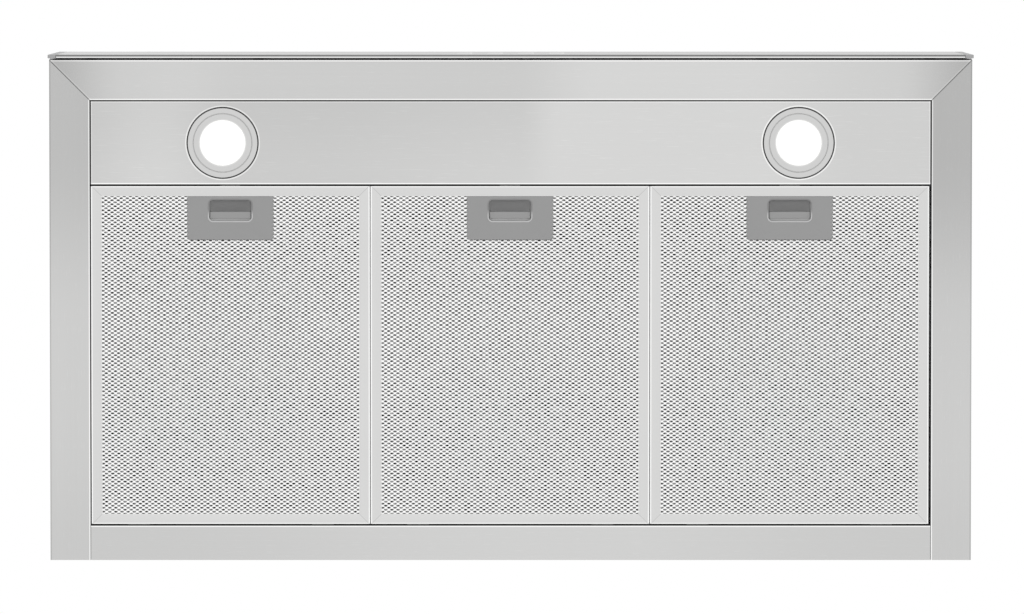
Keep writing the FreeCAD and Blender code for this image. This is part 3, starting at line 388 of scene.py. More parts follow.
class Finish:
    """A material with one Principled shader. node() takes a node's type, its settings and its values."""

    def __init__(self, name, color=(0.8, 0.8, 0.8), **sockets):
        self.material = bpy.data.materials.new(name)
        self.material.use_nodes = True
        self.tree = self.material.node_tree
        self.shader = self.tree.nodes["Principled BSDF"]
        self.set(**{"Base Color": (*color, 1.0)})
        self.set(**sockets)
        where = self.node("ShaderNodeTexCoord", {}, {}, "Object")
        self.place = where
        x, y, z = (self.node("ShaderNodeSeparateXYZ", {}, {"Vector": where}, axis) for axis in "XYZ")
        self.x, self.y, self.z = x, y, z

    def set(self, **sockets):
        for name, item in sockets.items():
            self.put(self.shader.inputs[name.replace("_", " ")], item)

    def put(self, target, item):
        if isinstance(item, Socket):
            self.tree.links.new(item.output, target)
        else:
            target.default_value = item

    def node(self, kind, settings, values, output=0):
        made = self.tree.nodes.new(kind)
        give(made, **settings)
        for name, item in values.items():
            self.put(made.inputs[name], item)
        return Socket(self, made.outputs[output])

    def noise(self, scale, stretch=(1, 1, 1), detail=2.0, rough=0.5, output=0):
        """Smooth noise in object space, scale per metre, stretched along the axes."""
        where = self.node("ShaderNodeMapping", {}, {"Vector": self.place, "Scale": stretch})
        return self.node("ShaderNodeTexNoise", {}, {"Vector": where, "Scale": scale, "Detail": detail,
                                                    "Roughness": rough}, output)

    def blend(self, factor, first, second):
        """A colour between two, by a factor."""
        made = self.tree.nodes.new("ShaderNodeMix")
        made.data_type = "RGBA"
        self.put(made.inputs["Factor"], factor)
        colours = [s for s in made.inputs if s.type == "RGBA"]
        for target, item in zip(colours, (first, second)):
            self.put(target, item if isinstance(item, Socket) else (*item, 1.0))
        return Socket(self, next(s for s in made.outputs if s.type == "RGBA"))

    def scaled(self, color, factor):
        """A colour made lighter or darker by a factor that varies over the surface."""
        return self.node("ShaderNodeVectorMath", {"operation": "SCALE"}, {0: tuple(color), "Scale": factor})

    def bump(self, height, strength, distance):
        self.set(Normal=self.node("ShaderNodeBump", {}, {"Height": height, "Strength": strength,
                                                         "Distance": distance}))
        return self

    def coat(self, color, level, rough):
        """Colour times a level that varies over the surface, and a roughness."""
        self.set(Base_Color=self.scaled(color, level), Roughness=rough)
        return self

    def grained(self, color, level, fine, rough, strength, depth):
        """A coat with one fine grain in both gloss and height."""
        return self.coat(color, level, rough + 0.14 * fine).bump(fine, strength, depth)


def dark(color, factor):
    return tuple(c * factor for c in color)


FINISHES = {}


def finish(name):
    """The named finish, made the first time that it is asked for."""
    if name not in FINISHES:
        FINISHES[name] = RECIPES[name]().material
    return FINISHES[name]


def settings(group):
    return getattr(bpy.context.scene, group)


def near(distance, reach=0.0011):
    """1 at an edge, falling to 0 a little way in from it."""
    return 1 - distance.step(reach * 0.4, reach)


def brushed(name, along, tone, inner):
    """Stainless sheet: fine lines along one axis in colour, gloss and height, a tone with painted
    reflections and highlights, and painted shade on the inner walls.
    """
    look = settings("hood_steel")
    made = Finish(name, Metallic=1.0)

    def streaks(long, wide, detail, rough=0.5):
        stretch = (long, wide, wide) if along == "x" else (wide, long, wide)
        return made.noise(1.0, stretch, detail, rough)

    lines = streaks(3, 900, 3.0, 0.6)
    bands = streaks(0.8, 30, 2.0)
    cloud = made.noise(5.0, detail=1.0)
    scratch = streaks(70, 1500, 0.0).step(0.7, 0.8)
    level = (0.945 + 0.05 * lines + 0.03 * bands + 0.03 * cloud + 0.05 * scratch) * tone(made)
    # Painted shade on the inner walls.
    level = level * (1 - look.inside * inner(made))
    level = level.maths("MINIMUM", level, 1.6)
    return made.coat(look.face, level, look.roughness - 0.06 + 0.12 * lines).bump(lines, 0.05, 0.00004)


def seams(*distances, bend=0.0006, shine=1.0):
    """Painted shade on the bend where a sheet turns up into a seam, and a painted highlight beside it."""
    shine = shine * settings("hood_steel").seam_highlight
    level = 1.0
    for distance in distances:
        level = level * (1 + shine * near(distance - bend)) * (1 - 0.8 * near(distance, bend))
    return level


def from_lamp(made):
    """How far a point is from the axis of the nearer lamp."""
    centre = middle("right_lamp_bezel")
    flat = made.node("ShaderNodeCombineXYZ", {},
                     {"X": abs(made.x) - centre[0], "Y": made.y - centre[1], "Z": 0.0})
    return made.node("ShaderNodeVectorMath", {"operation": "LENGTH"}, {0: flat}, "Value")


def mitre(made):
    """A dark hairline at the joint on the 45 degree line from each front corner, with a painted highlight
    line on its inner side.
    """
    offset = -span("left_rail")[0][0] - abs(made.x) - (made.y - span("front_rail")[0][1])
    return (1 - 0.42 * near(abs(offset), 0.001)) * (1 + 0.14 * near(abs(offset - 0.0016), 0.001))


def front_tone(made):
    """Painted reflection: the front band falls off towards its ends, and is lighter right of the middle and
    in a left patch; painted shade and highlights run along its seams.
    """
    low, high = span("front_rail")
    ends = 0.74 + 0.26 * abs(made.x).step(0.455, 0.375)
    patch = 1 - abs(made.x + 0.325).step(0.0, 0.07)
    level = 0.985 + 0.105 * made.x.step(0.0, 0.09) - 0.08 * made.x.step(0.22, 0.4) + 0.04 * patch
    wall = front_wall(made)
    seam_light_and_shade = seams(made.y - low[1], high[1] - made.y) * (1 - wall) + wall
    return level * ends * seam_light_and_shade * mitre(made)


def front_wall(made):
    """1 on the upper part of the front rail's outer wall, which shows past the fascia's raked ends, and
    which is kept free of the painted shade and seam highlights.
    """
    outer = span("front_rail")[0][1]
    return made.z.step(0.018, 0.024) * (1 - (made.y - outer).step(0.0004, 0.0008))


# The front rail's walls that get painted shade, less its upper outer wall.
def front_shaded_walls(made):
    return above(0.0)(made) * (1 - front_wall(made))


def panel_tone(made):
    """Painted reflection: the panel is lighter right of the middle, in a left patch, and on its left half
    towards the rear; painted shade and highlights run along its seams, and a painted highlight ring round
    each lamp.
    """
    low, high = span("light_panel")
    right = made.x.step(0.005, 0.05)
    patch = 1 - abs(made.x + 0.345).step(0.0, 0.08)
    rear = made.y.step(low[1], high[1])
    level = 0.925 + 0.05 * made.x.step(-0.2, 0.0) + 0.12 * right - 0.06 * made.x.step(0.24, 0.34)
    level = level + 0.09 * patch + 0.06 * rear * (1 - right)
    level = level * seams(made.y - low[1], high[0] - abs(made.x), shine=0.35)
    level = level * seams(high[1] - made.y, bend=0.0008)
    return level * (1 + 0.4 * near(abs(from_lamp(made) - PANEL_HIGHLIGHT_RING), 0.0008))


def side_tone(made):
    """Painted reflection: the side rails are darker towards the front corners, most on the right; painted
    shade along the outer bend, and painted shade and highlights along the seams and at the mitres.
    """
    inner, outer = span("right_rail")[0][0], span("right_rail")[1][0]
    right = made.x.step(-0.01, 0.01)
    level = 0.83 + 0.17 * made.y.step(-0.16, 0.02) - 0.04 * made.y.step(0.13, 0.24)
    level = level - 0.06 * right * (1 - made.y.step(-0.1, 0.12))
    # Painted shade along the outer bend.
    bend = near(outer - abs(made.x), 0.0018)
    return level * seams(abs(made.x) - inner) * (1 - 0.22 * bend) * mitre(made)


def rear_tone(made):
    """A gentle hump of light about the middle."""
    front = span("rear_rail")[0][1]
    return (0.965 + 0.08 * made.x.step(-0.4, 0.0) - 0.07 * made.x.step(0.12, 0.4)) * seams(made.y - front)


def fascia_tone(made):
    """Painted light: painted shade as a dark line along the lower bend, a painted highlight as a light band
    over it, and the lip behind it painted lighter.
    """
    front = span("front_fascia")[0][1]
    # Painted shade along the lower bend.
    bend = near(made.y - front, 0.0024) * (1 - made.z.step(0.003, 0.006))
    # Painted highlight over the bend.
    over = made.z.step(0.003, 0.006) * (1 - made.z.step(0.010, 0.016))
    return (0.86 + 0.5 * (made.y - front).step(0.0016, 0.0022) + 0.25 * over) * (1 - 0.62 * bend)


def above(level):
    """The walls over an underside, which get painted shade."""
    return lambda made: made.z.step(level + 0.0001, level + 0.0006)


def outside(made):
    """1 on the rim's two sides and its rear, which nothing covers."""
    outer, rear = span("right_rail")[1][0], span("rear_rail")[1][1]
    sides = abs(made.x).step(outer - 0.002, outer - 0.0014)
    return sides.maths("MAXIMUM", sides, made.y.step(rear - 0.002, rear - 0.0014))


# The walls over the rim's underside that get painted shade, except on its outside.
def shaded_inner_walls(made):
    return made.z.step(0.0001, 0.0006) * (1 - outside(made))


# The fascia's walls that get painted shade: those behind its front face up to its top, and its rear face.
def fascia_shaded_walls(made):
    front, rear = span("front_fascia")[0][1], span("front_fascia")[1][1]
    inside = made.z.step(0.0012, 0.003) * (made.y - front).step(0.0008, 0.0012)
    inside = inside * (1 - made.z.step(0.048, 0.049))
    return inside.maths("MAXIMUM", inside, made.y.step(rear - 0.0006, rear - 0.0003))


def edge_metal():
    """A sheet's bevelled edge: its light tint is a painted highlight, cut to a tenth as painted shade where
    the edge turns up into a gap, and to six tenths on the outside of the rim.
    """
    look = settings("hood_steel")
    made = Finish("sheet_edge", Metallic=1.0)
    level = (0.94 + 0.1 * made.noise(60.0)) * (0.1 + 0.5 * outside(made))
    return made.coat(look.edge, level, 0.3)


def fascia_edge():
    """Painted shade darkens the fascia's lower bends and all but blacks out its rear edges, which face a
    gap; its other edges keep the edge tint as a painted highlight.
    """
    look = settings("hood_steel")
    made = Finish("fascia_edge", Metallic=1.0)
    rear = span("front_fascia")[1][1]
    level = (0.35 + 0.5 * made.z.step(0.002, 0.01)) * (1 - 0.94 * made.y.step(rear - 0.0008, rear - 0.0004))
    return made.coat(look.edge, level * (0.95 + 0.1 * made.noise(60.0)), 0.35)


def galvanised():
    """Zinc coated sheet: crystals of slightly different grey, each with its own gloss."""
    look = settings("hood_steel")
    made = Finish("galvanised_sheet", Metallic=1.0)
    warp = made.noise(30.0, output="Color")
    where = made.node("ShaderNodeVectorMath", {"operation": "MULTIPLY_ADD"},
                      {0: warp, 1: (0.012, 0.012, 0.012), 2: made.place})
    cells = made.node("ShaderNodeTexVoronoi", {}, {"Vector": where, "Scale": 95.0}, "Color")
    grain = made.node("ShaderNodeSeparateColor", {}, {"Color": cells}, "Red")
    fine = made.noise(700.0)
    level = 0.9 + 0.14 * grain + 0.06 * fine
    return made.coat(look.zinc, level, 0.36 + 0.16 * grain).bump(fine, 0.08, 0.00005)


def satin_aluminium(name, color, rough):
    """Satin metal: a fine grain in colour and height, and a slow drift of gloss."""
    made = Finish(name, Metallic=1.0)
    fine = made.noise(900.0)
    slow = made.noise(14.0)
    level = 0.95 + 0.05 * fine + 0.05 * slow
    return made.coat(color, level, rough + 0.08 * slow).bump(fine, 0.05, 0.00003)


def from_border(made):
    """How far a point is inside its own filter's outline, across and along."""
    low, high = span("centre_filter_frame")
    first = middle("left_filter_frame")[0]
    pitch = middle("centre_filter_frame")[0] - first
    front, back = low[1], high[1] - TAB_LENGTH
    number = (made.x - first) / pitch
    turn = number.maths("ROUND", number)
    across = (high[0] - low[0]) / 2 - abs(made.x - first - turn * pitch)
    along = (back - front) / 2 - abs(made.y - (front + back) / 2)
    return across, along


def border_aluminium():
    """Folded border: a 45 degree hairline in each corner marks the mitre; painted highlights run along its
    outline on the underside, with painted shade on its front and rear edges and walls, which face gaps.
    """
    look = settings("hood_mesh")
    made = Finish("filter_border", Metallic=1.0)
    across, along = from_border(made)
    line = 1 - abs(across - along).step(0.0001, 0.0006)
    # Painted shade on the front and rear walls.
    wall = made.z.step(0.0007, 0.0012) * (1 - along.step(0.0001, 0.0004))
    fine = made.noise(900.0)
    slow = made.noise(9.0)
    under = 1 - made.z.step(0.0006, 0.0012)
    # Painted highlights along the outline of the underside, and painted shade at its front and rear edges.
    seam_light_and_shade = 1 + 0.47 * under * (near(across) + near(along - 0.0005)).step(0.0, 1.0)
    seam_light_and_shade = seam_light_and_shade * (1 - 0.8 * under * near(along, 0.0006))
    level = (0.95 + 0.04 * fine + 0.06 * slow) * (1 - 0.22 * line) * seam_light_and_shade * (1 - 0.72 * wall)
    return made.coat(look.border, level, 0.34 + 0.08 * slow).bump(fine, 0.05, 0.00003)


def border_edge():
    """A border's edges are tinted bright as a painted highlight, but painted shade dulls the front and rear
    ones where they turn up into a gap.
    """
    made = Finish("border_edge", Metallic=1.0)
    across, along = from_border(made)
    gap = 1 - along.step(0.0003, 0.0006)
    level = (0.95 + 0.08 * made.noise(60.0)) * (1 - 0.9 * gap)
    return made.coat(BRIGHT, level, 0.3)


def strand_metal():
    """Bright cut aluminium with painted light: a painted highlight where strands meet, greyer along them,
    and painted shade on the walls of the holes.
    """
    look = settings("hood_mesh")
    made = Finish("mesh_strand", Metallic=1.0)
    shine = made.node("ShaderNodeAttribute", {"attribute_name": "shine"}, {}, "Fac")
    fine = made.noise(420.0, (1, 1.4, 1), rough=0.6)
    slow = made.noise(26.0)
    level = (0.62 + 0.55 * shine) * (0.84 + 0.36 * fine) * (0.97 + 0.06 * slow)
    level = level.maths("MINIMUM", level, 1.05)
    return made.coat(look.strand, level, 0.28 + 0.2 * fine)


def layer_metal():
    """Aluminium behind the face, dark as painted shade, and uneven as crumpled layers are."""
    look = settings("hood_mesh")
    made = Finish("mesh_layer", Metallic=1.0)
    fine = made.noise(330.0, (1, 1.5, 1))
    return made.coat(look.behind, 0.08 + 1.7 * fine.step(0.36, 0.64), 0.4)


def moulded(name, color, grain=1600.0, rough=0.5, depth=0.00006, strength=0.12, **sockets):
    """Moulded plastic: a fine spark-eroded grain in height and gloss, with a faint slow drift of tone."""
    made = Finish(name, **sockets)
    fine = made.noise(grain, rough=0.6)
    slow = made.noise(22.0)
    return made.grained(color, 0.94 + 0.06 * fine + 0.06 * slow, fine, rough - 0.06, strength, depth)


def lens_glow():
    """Frosted lens lit from behind, brighter in the middle than at its rim."""
    look = settings("hood_lamp")
    made = Finish("lit_lens", Roughness=0.45, Coat_Weight=0.3)
    frost = made.noise(1500.0)
    rim = from_lamp(made).step(*LENS_RIM)
    made.set(Base_Color=made.scaled((0.86, 0.86, 0.85), 0.94 + 0.06 * frost),
             Emission_Color=made.scaled(look.glow, (0.98 + 0.04 * frost) * (1 - 0.8 * rim)),
             Emission_Strength=look.strength)
    return made.bump(frost, 0.05, 0.00003)


def latch_rim():
    """The window's rim is painted darker towards the front, as shade, and lighter towards the rear, as a
    highlight.
    """
    front = span("centre_latch_plate")[0][1]
    made = Finish("latch_rim_grey")
    fine = made.noise(1600.0, rough=0.6)
    painted_light_rear = made.y.step(front + 0.0125, front + 0.019)
    level = (0.94 + 0.12 * fine) * (0.8 + 0.9 * painted_light_rear)
    return made.grained(settings("hood_latch").plate, level, fine, 0.4, 0.1, 0.00005)


def slider():
    """The slider is painted lighter behind its lip, where it slides under the window's edge, to lift the
    shade that falls there.
    """
    front = span("centre_latch_plate")[0][1]
    made = Finish("slider_grey")
    fine = made.noise(1600.0, rough=0.6)
    # Painted light that lifts the shade behind the lip.
    behind = made.y.step(front + 0.0216, front + 0.022)
    level = (0.94 + 0.12 * fine) * (1 + 0.5 * behind)
    return made.grained(settings("hood_latch").slider, level, fine, 0.44, 0.12, 0.00006)


def bezel():
    """Satin ring: a fine turned line runs round it between the lens and its rim, darkened as painted shade;
    its inner lip is lightened by a painted glow from the lens.
    """
    made = Finish("bezel_grey", Coat_Weight=0.2)
    fine = made.noise(1200.0, rough=0.6)
    reach = from_lamp(made)
    # Painted shade in the groove.
    line = near(abs(reach - LAMP_GROOVE), 0.0009)
    # Painted glow from the lens on the inner lip.
    lip = 1 - reach.step(LENS_RIM[1], 0.0236)
    level = (0.96 + 0.06 * fine) * (1 - 0.22 * line) * (1 + 0.16 * lip)
    return made.grained(settings("hood_lamp").bezel, level, fine, 0.3, 0.1, 0.00005)


def board():
    """Green lacquered board: copper tracks show through as lighter lines."""
    made = Finish("circuit_board", Roughness=0.35, Coat_Weight=0.3)
    upright = made.node("ShaderNodeCombineXYZ", {}, {"X": made.x, "Y": made.z, "Z": 0.0})
    tracks = made.node("ShaderNodeTexBrick", {"offset": 0.5}, {
        "Vector": upright, "Scale": 60.0, "Mortar Size": 0.03,
        "Color1": (0, 0, 0, 1), "Color2": (0, 0, 0, 1), "Mortar": (1, 1, 1, 1)}, "Fac")
    fine = made.noise(500.0)
    lacquer, copper = (0.03, 0.13, 0.06), (0.07, 0.24, 0.11)
    made.set(Base_Color=made.blend(tracks, lacquer, copper), Roughness=0.3 + 0.1 * fine)
    return made


RECIPES = {
    "front_steel": lambda: brushed("front_steel", "x", front_tone, front_shaded_walls),
    "panel_steel": lambda: brushed("panel_steel", "x", panel_tone, above(0.001)),
    "side_steel": lambda: brushed("side_steel", "y", side_tone, shaded_inner_walls),
    "rear_steel": lambda: brushed("rear_steel", "x", rear_tone, shaded_inner_walls),
    "fascia_steel": lambda: brushed("fascia_steel", "x", fascia_tone, fascia_shaded_walls),
    "edge": edge_metal,
    "border_edge": border_edge,
    # The bead's light tint is a painted highlight beside the border's seam.
    "bead": lambda: satin_aluminium("border_bead_highlight", (0.9, 0.9, 0.895), 0.3),
    "fascia_edge": fascia_edge,
    "galvanised": galvanised,
    "border": border_aluminium,
    "strand": strand_metal,
    "layer": layer_metal,
    "latch_plate": lambda: moulded("latch_plate_grey", settings("hood_latch").plate),
    "latch_rim": latch_rim,
    "slider": slider,
    # The dish is the slider's grey darkened as painted shade in the hollow.
    "dish": lambda: moulded("dish_shaded_grey", dark(settings("hood_latch").slider, 0.62)),
    "spring": lambda: satin_aluminium("spring_wire", (0.55, 0.55, 0.56), 0.25),
    "bezel": bezel,
    # A black ring as painted shade: it stands in for the shadow in the gap round a bezel.
    "shadow_ring": lambda: moulded("shadow_ring_black", (0.03, 0.03, 0.03), 900.0, 0.7),
    "lens": lens_glow,
    "heat_sink": lambda: satin_aluminium("heat_sink_cast", (0.48, 0.48, 0.48), 0.45),
    "cap": lambda: moulded("cap_grey", (0.4, 0.4, 0.4)),
    "button": lambda: satin_aluminium("button_metal", (0.6, 0.6, 0.6), 0.3),
    "black": lambda: moulded("black_moulding", (0.028, 0.028, 0.03), 900.0, 0.55),
    "board": board,
    "enamel": lambda: moulded("motor_enamel", (0.045, 0.045, 0.047), 700.0, 0.4, Coat_Weight=0.25),
    "shaft": lambda: satin_aluminium("ground_shaft", (0.6, 0.6, 0.6), 0.22),
    "screw": lambda: satin_aluminium("zinc_screw", (0.62, 0.63, 0.65), 0.25),
    "wheel": lambda: satin_aluminium("impeller_sheet", (0.52, 0.53, 0.54), 0.4),
}


def radius():
    return settings("hood_steel").edge_radius


# ---- operators: one for each group of pieces ----

class HoodOperator(bpy.types.Operator):
    """Shared by the operators: runs build() and reports that it is done."""

    bl_options = {"REGISTER"}

    def execute(self, context):
        self.build()
        return {"FINISHED"}


class HOOD_OT_rim(HoodOperator):
    """Front, side and rear rails and the light panel, brushed, with bevelled edges tinted light as a painted
    highlight
    """

    bl_idname = "hood.rim"
    bl_label = "Rim and light panel"

    def build(self):
        for node, face in (("front_rail", "front_steel"), ("left_rail", "side_steel"),
                           ("right_rail", "side_steel"), ("rear_rail", "rear_steel"),
                           ("light_panel", "panel_steel")):
            softened(f"{node}_sheet", node, radius(), face, "edge")


class HOOD_OT_fascia(HoodOperator):
    """Front fascia with its end caps and spacers"""

    bl_idname = "hood.fascia"
    bl_label = "Fascia"

    def build(self):
        softened("fascia_sheet", "front_fascia", radius(), "fascia_steel", "fascia_edge")
        softened("fascia_caps", "fascia_end_caps", 0.0005, "cap")
        dress("fascia_spacers", "black")


class HOOD_OT_buttons(HoodOperator):
    """Push buttons in the fascia, their guide and the switch board"""

    bl_idname = "hood.buttons"
    bl_label = "Buttons"

    def build(self):
        for name in ("power", "low", "high", "light"):
            softened(f"{name}_button_cap", f"{name}_button", 0.0006, "button")
        dress("button_guide", "black")
        dress("switch_board", "board")


class HOOD_OT_lamps(HoodOperator):
    """Two round lamps: stepped bezel, domed lens, a black ring standing in for the shadow in the gap round
    the bezel, and heat sink
    """

    bl_idname = "hood.lamps"
    bl_label = "Lamps"

    def build(self):
        for side in ("left", "right"):
            centre = middle(f"{side}_lamp_bezel")
            low, high = span(f"{side}_lamp_bezel")
            face, top = low[2], high[2]
            outer = (high[0] - low[0]) / 2
            seat = 0.001
            window, lens, ledge, sleeve = 0.0225, 0.0254, 0.0256, 0.0275
            groove = LAMP_GROOVE
            corners = [
                (window, face + 0.0001), (groove - 0.0005, face), (groove - 0.0003, face + 0.0004),
                (groove + 0.0003, face + 0.0004), (groove + 0.0005, face), (outer - 0.0009, face),
                (outer, face + 0.0006), (outer, seat), (sleeve, seat), (sleeve, top), (ledge, top),
                (ledge, seat + 0.00003), (window, seat + 0.00003),
            ]
            round_by = [0.00008, 0.0001, 0.0001, 0.0001, 0.0001, 0.0005, 0.0001, 0, 0, 0.0003, 0.0003, 0, 0]
            points, quads = turned(rounded_outline(corners, round_by), centre)
            piece(f"{side}_lamp_ring", "hood", points, quads, "bezel", 25, (f"{side}_lamp_bezel",))
            # A black ring round the bezel stands in for the shadow in the gap there: painted shade.
            gap = [(outer - 0.0007, 0.0003), (outer + 0.0006, 0.00035), (outer + 0.0007, seat - 0.00002),
                   (outer - 0.0007, seat - 0.00002)]
            points, quads = turned(rounded_outline(gap, 0.00008, 3), centre)
            piece(f"{side}_lamp_shadow_ring", "hood", points, quads, "shadow_ring", 30)
            self.lens(side, centre, window, lens)
            softened(f"{side}_lamp_sink", f"{side}_lamp_body", 0.0003, "heat_sink")
        softened("lamp_spring_clips", "lamp_clips", 0.00015, "spring")

    def lens(self, side, centre, window, outer):
        """Domed lens: its face bulges down by the square of the distance from the window's edge."""
        low, high = span(f"{side}_lamp_lens")
        r = np.linspace(0.0005, window - 0.0001, 22)
        bulge = 0.0009 * (1 - (r / window) ** 2)
        face = np.stack([r, low[2] - bulge * 0.9], 1)
        rim = np.array([(outer, low[2]), (outer, high[2] - 0.0002), (outer - 0.0002, high[2])])
        back = np.stack([np.linspace(window, 0.0005, 8), np.full(8, high[2])], 1)
        points, quads = turned(np.concatenate([face, rim, back]), centre)
        columns = len(face) + len(rim) + len(back)
        seam = (quads % columns == columns - 1).any(1) & (quads % columns == 0).any(1)
        first = np.arange(ROUND_STEPS) * columns
        piece(f"{side}_lamp_glass", "hood", points, quads[~seam], "lens", 50,
              (f"{side}_lamp_lens",), ends=(first, (first + columns - 1)[::-1]))


class HOOD_OT_filters(HoodOperator):
    """Filter frames with mitred borders, and the expanded mesh with the layers behind it"""

    bl_idname = "hood.filters"
    bl_label = "Filters"

    def build(self):
        look = settings("hood_mesh")
        for side in SIDES:
            softened(f"{side}_filter_border", f"{side}_filter_frame", 0.0003, "border", "border_edge",
                     join=False)
            low, high = span(f"{side}_filter_frame")
            mesh_low, mesh_high = span(f"{side}_filter_mesh")
            latch_low, latch_high = span(f"{side}_latch_plate")
            pitch = (look.pitch_across, look.pitch_along)
            hole = (look.hole_across, look.hole_along)
            inside = (low[0] + SIDE_MARGIN, mesh_low[1] + END_MARGIN,
                      high[0] - SIDE_MARGIN, mesh_high[1] - END_MARGIN)
            notch = (latch_low[0] - 0.0001, -1.0, latch_high[0] + 0.0001, latch_high[1] + 0.0001)
            face_z = (mesh_low[2] + mesh_high[2]) / 2 - 0.00012
            split = (inside[1] + inside[3]) / 2
            split = inside[1] + round((split - inside[1]) / look.pitch_along) * look.pitch_along
            for part, area in (("front", (*inside[:3], split)), ("rear", (inside[0], split, *inside[2:]))):
                points, quads, shine = expanded(area, inside, notch, face_z, pitch, hole, look.tilt,
                                                look.wall)
                piece(f"{side}_mesh_face_{part}", f"{side}_filter", points, quads, "strand", 60,
                      (f"{side}_filter_mesh",), shine=shine, down=True)
            self.bead(side, low, high, look.bead)
            media_low, media_high = span(f"{side}_filter_media")
            for number, (level, slip, spread) in enumerate(((0.25, (0.0011, 0.0007), 1.31),
                                                            (0.7, (0.0023, 0.0013), 1.43))):
                z = media_low[2] * (1 - level) + media_high[2] * level
                steps = (pitch[0] * spread, pitch[1] * spread)
                points, quads, _ = expanded(inside, inside, notch, z, steps, hole, look.tilt, 0, slip)
                piece(f"{side}_mesh_layer_{number + 1}", f"{side}_filter", points, quads, "layer",
                      60, (f"{side}_filter_media",), down=True)

    def bead(self, side, low, high, out):
        """Rolled edge along each side of a border: a rounded outline carried straight to the rear, tinted
        light as a painted highlight.
        """
        face, front, back = low[2], low[1] + 0.0004, high[1] - 0.0076
        outline = rounded_outline([(-0.0007, face + 0.00002), (out, face + 0.00002), (out, face + 0.0012),
                                   (-0.0007, face + 0.0012)], (0.0, 0.00045, 0.00045, 0.0), 5)
        for name, x, way in (("left", low[0], -1), ("right", high[0], 1)):
            rows = [np.stack([x + way * outline[:, 0], np.full(len(outline), y), outline[:, 1]], 1)
                    for y in (front, back)]
            count = len(outline)
            piece(f"{side}_filter_bead_{name}", f"{side}_filter", np.concatenate(rows),
                  lattice(2, count, False, True), "bead", 40,
                  ends=(range(count), range(count, 2 * count)))


def eight_round(x, y):
    """Eight points round a middle: four on its axes, and between them four at x and y."""
    return np.array([(1, 0), (x, y), (0, 1), (-x, y), (-1, 0), (-x, -y), (0, -1), (x, -y)])


def expanded(area, limits, notch, z, pitch, hole, tilt, wall, slip=(0.0, 0.0)):
    """Expanded sheet. Staggered diamonds, each a ring of eight quads from its edge to a lens-shaped hole
    whose front side stands down by the tilt and whose rear side stands up by it; a wall round the hole gives
    the sheet its thickness. Points past the limits or in the notch move to its edge, as if trimmed. Each
    point's shine is painted light: 1 where strands meet, a painted highlight, less along them, and least on
    the wall, as painted shade."""
    across, along = pitch
    columns = np.arange(math.floor((area[0] - limits[0]) / across),
                        math.ceil((area[2] - limits[0]) / across) + 1)
    rows = np.arange(round((area[1] - limits[1]) / along * 2), round((area[3] - limits[1]) / along * 2))
    c, r = np.meshgrid(columns, rows)
    x = limits[0] + slip[0] + c * across + (r % 2) * across / 2
    y = limits[1] + slip[1] + (r + 1) * along / 2
    centre = np.stack([x.ravel(), y.ravel()], 1)
    inner = eight_round(0.62, 0.66) * np.array(hole) / 2
    edge = eight_round(0.5, 0.5) * np.array(pitch) / 2
    inside_notch = ((centre[:, 0] > notch[0] + across / 4) & (centre[:, 0] < notch[2] - across / 4)
                    & (centre[:, 1] > notch[1]) & (centre[:, 1] < notch[3] - along / 4))
    centre = centre[~inside_notch]
    lift = inner[:, 1] / (hole[1] / 2) * tilt
    along_strand = np.arange(8) % 2
    rings = [(edge, np.zeros(8), 1 - 0.6 * along_strand), (inner, lift, 0.85 - 0.55 * along_strand)]
    if wall:
        rings.append((inner * 0.94, lift + wall, np.full(8, -0.3)))
    flat = centre[:, None, None, :] + np.stack([ring for ring, _, _ in rings])[None]
    height = np.broadcast_to(np.stack([rise for _, rise, _ in rings]) + z, flat.shape[:3])
    shine = np.broadcast_to(np.stack([level for _, _, level in rings]), flat.shape[:3]).ravel()
    flat[..., 0] = np.clip(flat[..., 0], limits[0], limits[2])
    flat[..., 1] = np.clip(flat[..., 1], limits[1], limits[3])
    px, py = flat[..., 0], flat[..., 1]
    caught = (px > notch[0]) & (px < notch[2]) & (py > notch[1]) & (py < notch[3])
    gaps = np.stack([px - notch[0], notch[2] - px, notch[3] - py])
    nearest = gaps.argmin(0)
    px[caught & (nearest == 0)] = notch[0]
    px[caught & (nearest == 1)] = notch[2]
    py[caught & (nearest == 2)] = notch[3]
    points = np.concatenate([flat, height[..., None]], -1).reshape(-1, 3)
    quads = copied(lattice(len(rings), 8, False, True), len(centre), 8 * len(rings))
    corners = points[quads]
    size = np.linalg.norm(np.cross(corners[:, 2] - corners[:, 0], corners[:, 3] - corners[:, 1]), axis=1)
    return points, quads[size > 2e-9], shine


